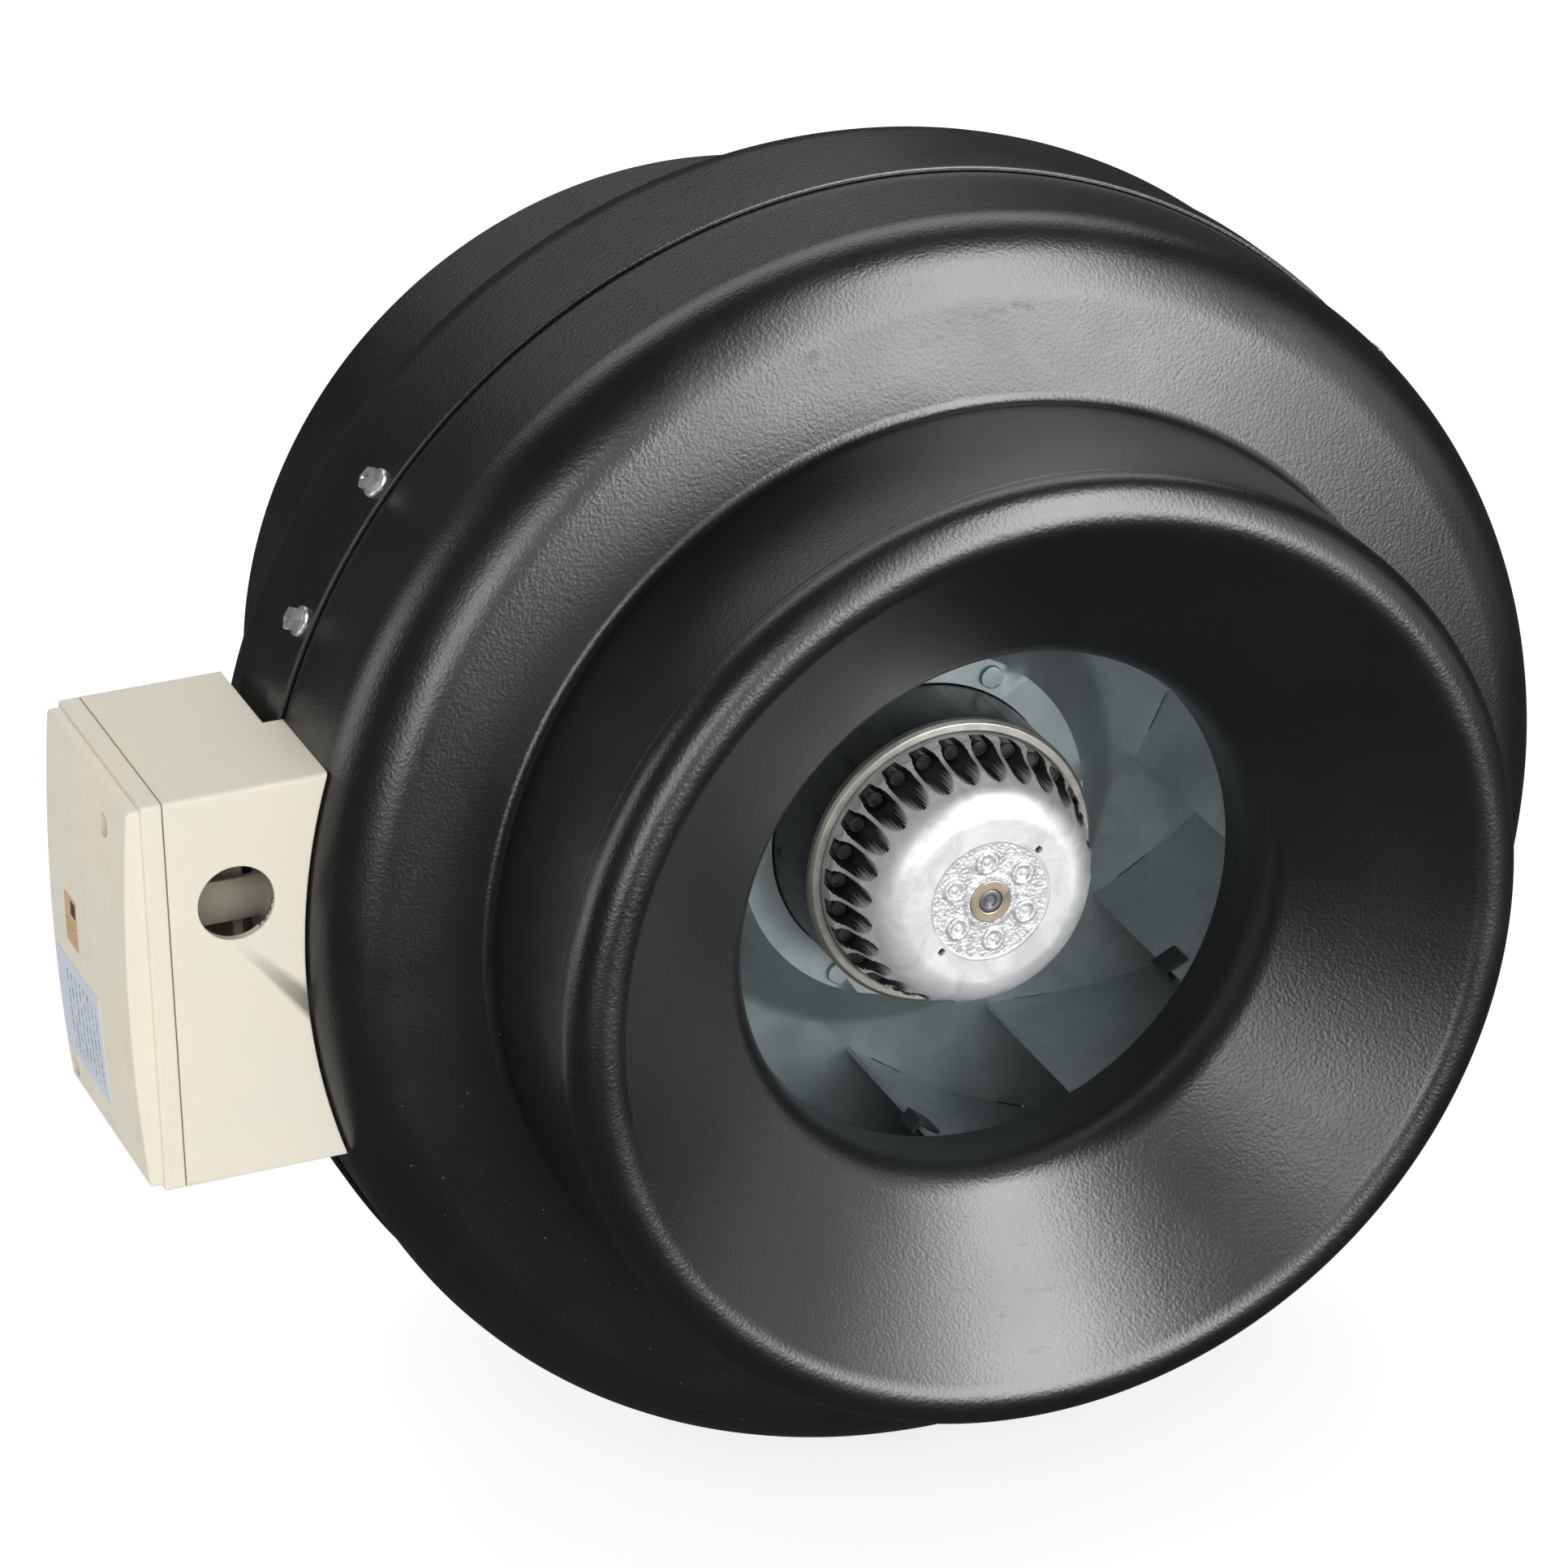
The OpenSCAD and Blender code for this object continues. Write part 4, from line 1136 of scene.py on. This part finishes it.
class DUCTFAN_OT_finishes(bpy.types.Operator):
    """Make the finishes"""

    bl_idname = "duct_fan.finishes"
    bl_label = "Finishes"

    def execute(self, context):
        make_finishes(context.scene.duct_fan_colours)
        return {"FINISHED"}


class DUCTFAN_OT_shells(bpy.types.Operator):
    """Build the front and rear shells and the inlet nozzle"""

    bl_idname = "duct_fan.shells"
    bl_label = "Shells and inlet nozzle"

    def execute(self, context):
        s = context.scene.duct_fan_casing
        for name, profile in (
            ("front_casing", front_shell(s)), ("rear_casing", rear_shell(s)),
            ("inlet_nozzle", nozzle_profile(s))
        ):
            verts, faces = lathe(profile, 320)
            mesh = solid_mesh(name + "_finished", verts, faces, 28)
            fitted(name + "_finished", mesh, "casing_paint", "casing", [name])
        return {"FINISHED"}


class DUCTFAN_OT_casing_screws(bpy.types.Operator):
    """Set the hexagon screws in pairs round the overlap band"""

    bl_idname = "duct_fan.casing_screws"
    bl_label = "Casing screws"

    def execute(self, context):
        c, s = context.scene.duct_fan_casing, context.scene.duct_fan_screws
        one = hexagon_screw(s, c.casing_r + c.band_lift, c.band_y + 6 * MM)
        ring("casing_screws_finished", one, "zinc", "casing", ["casing_screws"],
             s.groups, s.first, 2, s.spread)
        return {"FINISHED"}


class DUCTFAN_OT_rotor(bpy.types.Operator):
    """Build the rotor can, its bare rim, the bush and the shaft"""

    bl_idname = "duct_fan.rotor"
    bl_label = "Rotor can, rim, bush and shaft"

    def execute(self, context):
        m = context.scene.duct_fan_motor
        rim, rim_y, cap = m.rim_r / MM, m.rim_y / MM, m.cap_y / MM
        lathed("rotor_rim_finished",
               [(rim - 3.2, rim_y + 0.5, 0.3), (rim - 2.7, rim_y, 0.3), (rim - 0.9, rim_y, 0.5),
                (rim, rim_y + 0.9, 0.4), (rim, rim_y + 2.3, 0.2), (rim - 0.35, rim_y + 2.7, 0.1),
                (rim - 3.2, rim_y + 2.7, 0.1)],
               "rim_steel", "rotor", ["rotor_rim"])
        body = high("rotor_can").y / MM
        lathed("rotor_can_finished",
               [(rim - 0.1, rim_y + 2.7, 0.25), (rim - 0.1, 67.5, 0.6), (46, 67.5, 0.2),
                (46, 69.5, 0.2),
                (rim - 0.1, 69.5, 0.6), (rim - 0.1, body, 0.3), (rim - 2, body, 0.3),
                (rim - 2, rim_y + 2.7, 0.1)],
               "motor_black", "rotor", ["rotor_can"])
        lathed("shaft_bush_finished",
               [(5.56, cap - 0.5, 0.35), (5.56, cap + 10, 0), (3.02, cap + 10, 0),
                (3.02, cap - 0.5, 0.3)],
               "brass", "rotor", ["shaft_bush"], 96)
        end = high("motor_shaft").y / MM
        lathed("motor_shaft_finished",
               [(0.001, cap + 0.35, 0), (1.35, cap + 0.35, 0.1), (1.75, cap - 0.2, 0.1),
                (3.0, cap - 0.2, 0.4),
                (3.0, cap + 10, 0), (4, cap + 10, 0.2), (4, end - 0.9, 0), (3.6, end - 0.85, 0),
                (3.6, end - 0.45, 0), (4, end - 0.4, 0), (4, end, 0.3), (0.001, end, 0)],
               "shaft_steel", "rotor", ["motor_shaft"], 96)
        return {"FINISHED"}


class DUCTFAN_OT_end_cap(bpy.types.Operator):
    """Build the die-cast end cap and the pins in its pockets"""

    bl_idname = "duct_fan.end_cap"
    bl_label = "Rotor end cap"

    def execute(self, context):
        m = context.scene.duct_fan_motor
        fitted("rotor_end_cap_finished", end_cap(m), "aluminium_cast", "rotor",
               ["rotor_end_cap"])
        r, y0 = m.pin_r, m.rim_y - 4.6 * MM
        profile = [(0.0, y0 + 0.3 * MM), (r * 0.66, y0 + 0.3 * MM), (r * 0.76, y0), (r * 0.9, y0),
                   (r, y0 + 0.25 * MM), (r, y0 + 4 * MM)]
        verts, faces = [], []
        sides, n = 20, len(profile)
        for k in range(sides):
            a = 2 * math.pi * k / sides
            verts += [(m.pocket_at - 0.2 * MM + q * math.cos(a), y, q * math.sin(a)) for q,
                      y in profile]
        for k in range(sides):
            j = (k + 1) % sides
            faces += [(k * n + i, j * n + i, j * n + i + 1, k * n + i + 1) for i in range(n - 1)]
        faces.append(tuple(k * n + n - 1 for k in range(sides)))
        pin = solid_mesh("pin", verts, faces, 40)
        ring("cap_pins", pin, "motor_black", "rotor", [], m.pockets)
        return {"FINISHED"}


class DUCTFAN_OT_wheel(bpy.types.Operator):
    """Build the impeller: back plate, shroud, blades, rivets and balance clips"""

    bl_idname = "duct_fan.wheel"
    bl_label = "Impeller"

    def execute(self, context):
        w = context.scene.duct_fan_wheel
        nodes = [f"impeller_blade_{i + 1}" for i in range(w.blades)]
        ring("impeller_blades_finished", blade(w), "galvanised", "rotor", nodes,
             w.blades, w.first)
        verts, faces = lathe(shroud_side(w, 0.0) + shroud_side(w, w.sheet)[::-1], 256)
        mesh = solid_mesh("impeller_shroud_finished", verts, faces, 30)
        fitted("impeller_shroud_finished", mesh, "galvanised", "rotor",
               ["impeller_shroud"])
        refined("impeller_back_plate", "galvanised", "rotor", 24)
        refined("hub_rivets", "galvanised", "rotor")
        refined("balance_clips", "clip_steel", "rotor")
        return {"FINISHED"}


STATOR_PARTS = {
    "motor_bracket": "galvanised", "bracket_bolts": "zinc", "stator_flange": "aluminium_cast",
    "stator_core": "lamination", "stator_windings": "copper", "front_bearing": "bearing_steel",
    "rear_bearing": "bearing_steel",
}
ROTOR_PARTS = {"rotor_core": "lamination", "shaft_circlip": "clip_steel"}
BOX_PARTS = {
    "terminal_box_base": "box_plastic", "box_screws": "zinc", "terminal_block": "white_plastic",
    "terminal_screws": "brass", "capacitor": "capacitor_can", "capacitor_clamp": "zinc",
    "lead_grommet": "black_rubber", "motor_lead": "black_rubber", "earth_screw": "brass",
}
COVER_PARTS = {
    "cover_screws": "zinc", "cover_gasket": "foam",
    "rating_label": "label_film", "inspection_sticker": "sticker_paper",
}


class DUCTFAN_OT_stator(bpy.types.Operator):
    """Finish the bracket, stator, windings and bearings"""

    bl_idname = "duct_fan.stator"
    bl_label = "Stator and bracket"

    def execute(self, context):
        for node, finish in STATOR_PARTS.items():
            refined(node, finish, "casing")
        for node, finish in ROTOR_PARTS.items():
            refined(node, finish, "rotor")
        return {"FINISHED"}


class DUCTFAN_OT_box(bpy.types.Operator):
    """Finish the terminal box, its cover and what is inside"""

    bl_idname = "duct_fan.box"
    bl_label = "Terminal box"

    def execute(self, context):
        for node, finish in BOX_PARTS.items():
            refined(node, finish, "casing")
        fitted("terminal_box_cover_finished", box_cover(context.scene.duct_fan_box),
               "box_plastic", "cover",
               ["terminal_box_cover"])
        for node, finish in COVER_PARTS.items():
            refined(node, finish, "cover")
        return {"FINISHED"}


class DUCTFAN_OT_studio(bpy.types.Operator):
    """Set the floor, the lights and the camera"""

    bl_idname = "duct_fan.studio"
    bl_label = "Studio"

    def execute(self, context):
        set_studio(context.scene, context.scene.duct_fan_studio)
        return {"FINISHED"}


# what a glossy surface mirrors: a strength, then windows on the direction
# (axis, centre, full, none)
REFLECTIONS = (
    (13.0, (0, 0.38, 0.13, 0.34), (1, -1.0, 0.66, 0.82), (2, 0.38, 0.48, 0.72)),
    (9.0, (0, -0.44, 0.06, 0.20), (1, -0.90, 0.10, 0.20), (2, 0.14, 0.16, 0.36)),
    (1.0, (0, 0.90, 0.15, 0.40), (1, -0.40, 0.20, 0.40), (2, 0.20, 0.20, 0.50)),
    (2.6, (0, 0.20, 0.45, 0.80), (1, 0.64, 0.10, 0.22), (2, 0.66, 0.12, 0.28)),
    (2.6, (0, -0.90, 0.08, 0.20), (1, 0.40, 0.10, 0.30), (2, 0.15, 0.25, 0.45)),
)


def set_studio(scene, s):
    floor_z = FRAME_BOX[0].z - 0.5 * MM
    size = 30.0
    mesh = bpy.data.meshes.new("floor")
    mesh.from_pydata([(-size, -size, floor_z), (size, -size, floor_z), (size, size, floor_z),
                      (-size, size, floor_z)], [], [(0, 1, 2, 3)])
    floor = bpy.data.objects.new("floor", mesh)
    scene.collection.objects.link(floor)
    paper = Finish("pale floor", (0.42, 0.42, 0.42), 0.0, 0.9)
    paper.set("Specular IOR Level", 0.0)
    paper.set("Emission Color", (1.0, 1.0, 1.0, 1.0))
    paper.set("Emission Strength", s.floor_glow)
    mesh.materials.append(paper.material)
    floor.visible_glossy = False

    world = scene.world or bpy.data.worlds.new("studio")
    scene.world = world
    world.use_nodes = True
    nodes, links = world.node_tree.nodes, world.node_tree.links
    nodes.clear()
    rays, split = nodes.new("ShaderNodeLightPath"), nodes.new("ShaderNodeSeparateXYZ")
    links.new(nodes.new("ShaderNodeTexCoord").outputs["Generated"], split.inputs[0])

    def ramp(value, start, end, low_value=0.0, high_value=1.0):
        node = nodes.new("ShaderNodeMapRange")
        node.interpolation_type = "SMOOTHSTEP"
        links.new(value, node.inputs["Value"])
        for socket, number in zip(node.inputs[1:5], (start, end, low_value, high_value)):
            socket.default_value = number
        return node.outputs[0]

    def maths(kind, first, second):
        node = nodes.new("ShaderNodeMath")
        node.operation = kind
        for value, socket in ((first, node.inputs[0]), (second, node.inputs[1])):
            if isinstance(value, float):
                socket.default_value = value
            else:
                links.new(value, socket)
        return node.outputs[0]

    def window(axis, centre, full, none):
        return ramp(maths("ABSOLUTE", maths("SUBTRACT", split.outputs[axis], centre), 0.0), full,
                    none, 1.0, 0.0)

    glow = None
    for strength, *windows in REFLECTIONS:
        lobe = maths("MULTIPLY", window(*windows[0]), strength * s.reflections)
        for limits in windows[1:]:
            lobe = maths("MULTIPLY", lobe, window(*limits))
        glow = maths("ADD", glow, lobe) if glow else maths("ADD", lobe, s.mirrored)
    sky = nodes.new("ShaderNodeBackground")
    sky.inputs["Strength"].default_value = s.ambient
    surface = sky.outputs[0]
    for ray, strength in (("Is Glossy Ray", glow), ("Is Camera Ray", None)):
        other, choose = nodes.new("ShaderNodeBackground"), nodes.new("ShaderNodeMixShader")
        if strength:
            links.new(strength, other.inputs["Strength"])
        links.new(rays.outputs[ray], choose.inputs[0])
        links.new(surface, choose.inputs[1])
        links.new(other.outputs[0], choose.inputs[2])
        surface = choose.outputs[0]
    links.new(surface, nodes.new("ShaderNodeOutputWorld").inputs["Surface"])

    def panel(name, place, target, width, height, power):
        light = bpy.data.lights.new(name, "AREA")
        light.shape, light.size, light.size_y, light.energy = "RECTANGLE", width, height, power
        lamp = bpy.data.objects.new(name, light)
        scene.collection.objects.link(lamp)
        lamp.visible_glossy = False
        lamp.location = place
        lamp.rotation_mode = "QUATERNION"
        lamp.rotation_quaternion = (Vector(target) - Vector(place)).to_track_quat("-Z", "Y")

    middle = (0.0, 0.06, 0.0)
    panel("front softbox", (-0.45, -1.75, 0.85), middle, 1.3, 1.3, 14)
    panel("left softbox", (-1.3, -0.9, 0.7), middle, 0.6, 0.8, 5)
    panel("rear top softbox", (0.25, 1.0, 1.1), middle, 1.1, 0.6, 7)

    a, e, ro = s.azimuth, s.elevation, s.roll
    back = Vector((math.sin(a) * math.cos(e), -math.cos(a) * math.cos(e), math.sin(e)))
    level = (-back).cross(Vector((0, 0, 1))).normalized()
    upright = level.cross(-back).normalized()
    right = level * math.cos(ro) + upright * math.sin(ro)
    up = upright * math.cos(ro) - level * math.sin(ro)
    data = bpy.data.cameras.new("camera")
    data.sensor_width, data.lens = 36.0, s.lens
    data.clip_start, data.clip_end = 0.05, 100.0
    camera = bpy.data.objects.new("camera", data)
    scene.collection.objects.link(camera)
    turn = Matrix((right, up, back)).transposed().to_4x4()
    camera.matrix_world = Matrix.Translation((s.camera_x, s.camera_y, s.camera_z)) @ turn
    scene.camera = camera
    scene.view_settings.view_transform = "Standard"


STEPS = (
    DUCTFAN_OT_finishes, DUCTFAN_OT_shells, DUCTFAN_OT_casing_screws, DUCTFAN_OT_rotor,
    DUCTFAN_OT_end_cap, DUCTFAN_OT_wheel, DUCTFAN_OT_stator, DUCTFAN_OT_box, DUCTFAN_OT_studio,
)


class DUCTFAN_PT_panel(bpy.types.Panel):
    """Lists the fan's building steps and sizes"""

    bl_idname = "DUCTFAN_PT_panel"
    bl_label = "Duct fan"
    bl_space_type = "VIEW_3D"
    bl_region_type = "UI"
    bl_category = "Duct fan"

    def draw(self, context):
        column = self.layout.column()
        for step in STEPS:
            column.operator(step.bl_idname)
        for group, kind in GROUPS.items():
            box = self.layout.box()
            for name in kind.__annotations__:
                box.prop(getattr(context.scene, group), name)


def register():
    for kind in (*GROUPS.values(), *STEPS, DUCTFAN_PT_panel):
        bpy.utils.register_class(kind)
    for group, kind in GROUPS.items():
        setattr(bpy.types.Scene, group, bpy.props.PointerProperty(type=kind))


def unregister():
    for group in GROUPS:
        delattr(bpy.types.Scene, group)
    for kind in (DUCTFAN_PT_panel, *reversed(STEPS), *reversed(GROUPS.values())):
        bpy.utils.unregister_class(kind)


def main():
    register()
    for step in STEPS:
        area, name = step.bl_idname.split(".")
        if getattr(getattr(bpy.ops, area), name)() != {"FINISHED"}:
            raise RuntimeError(f"{step.bl_label} did not finish")


if __name__ == "__main__":
    main()
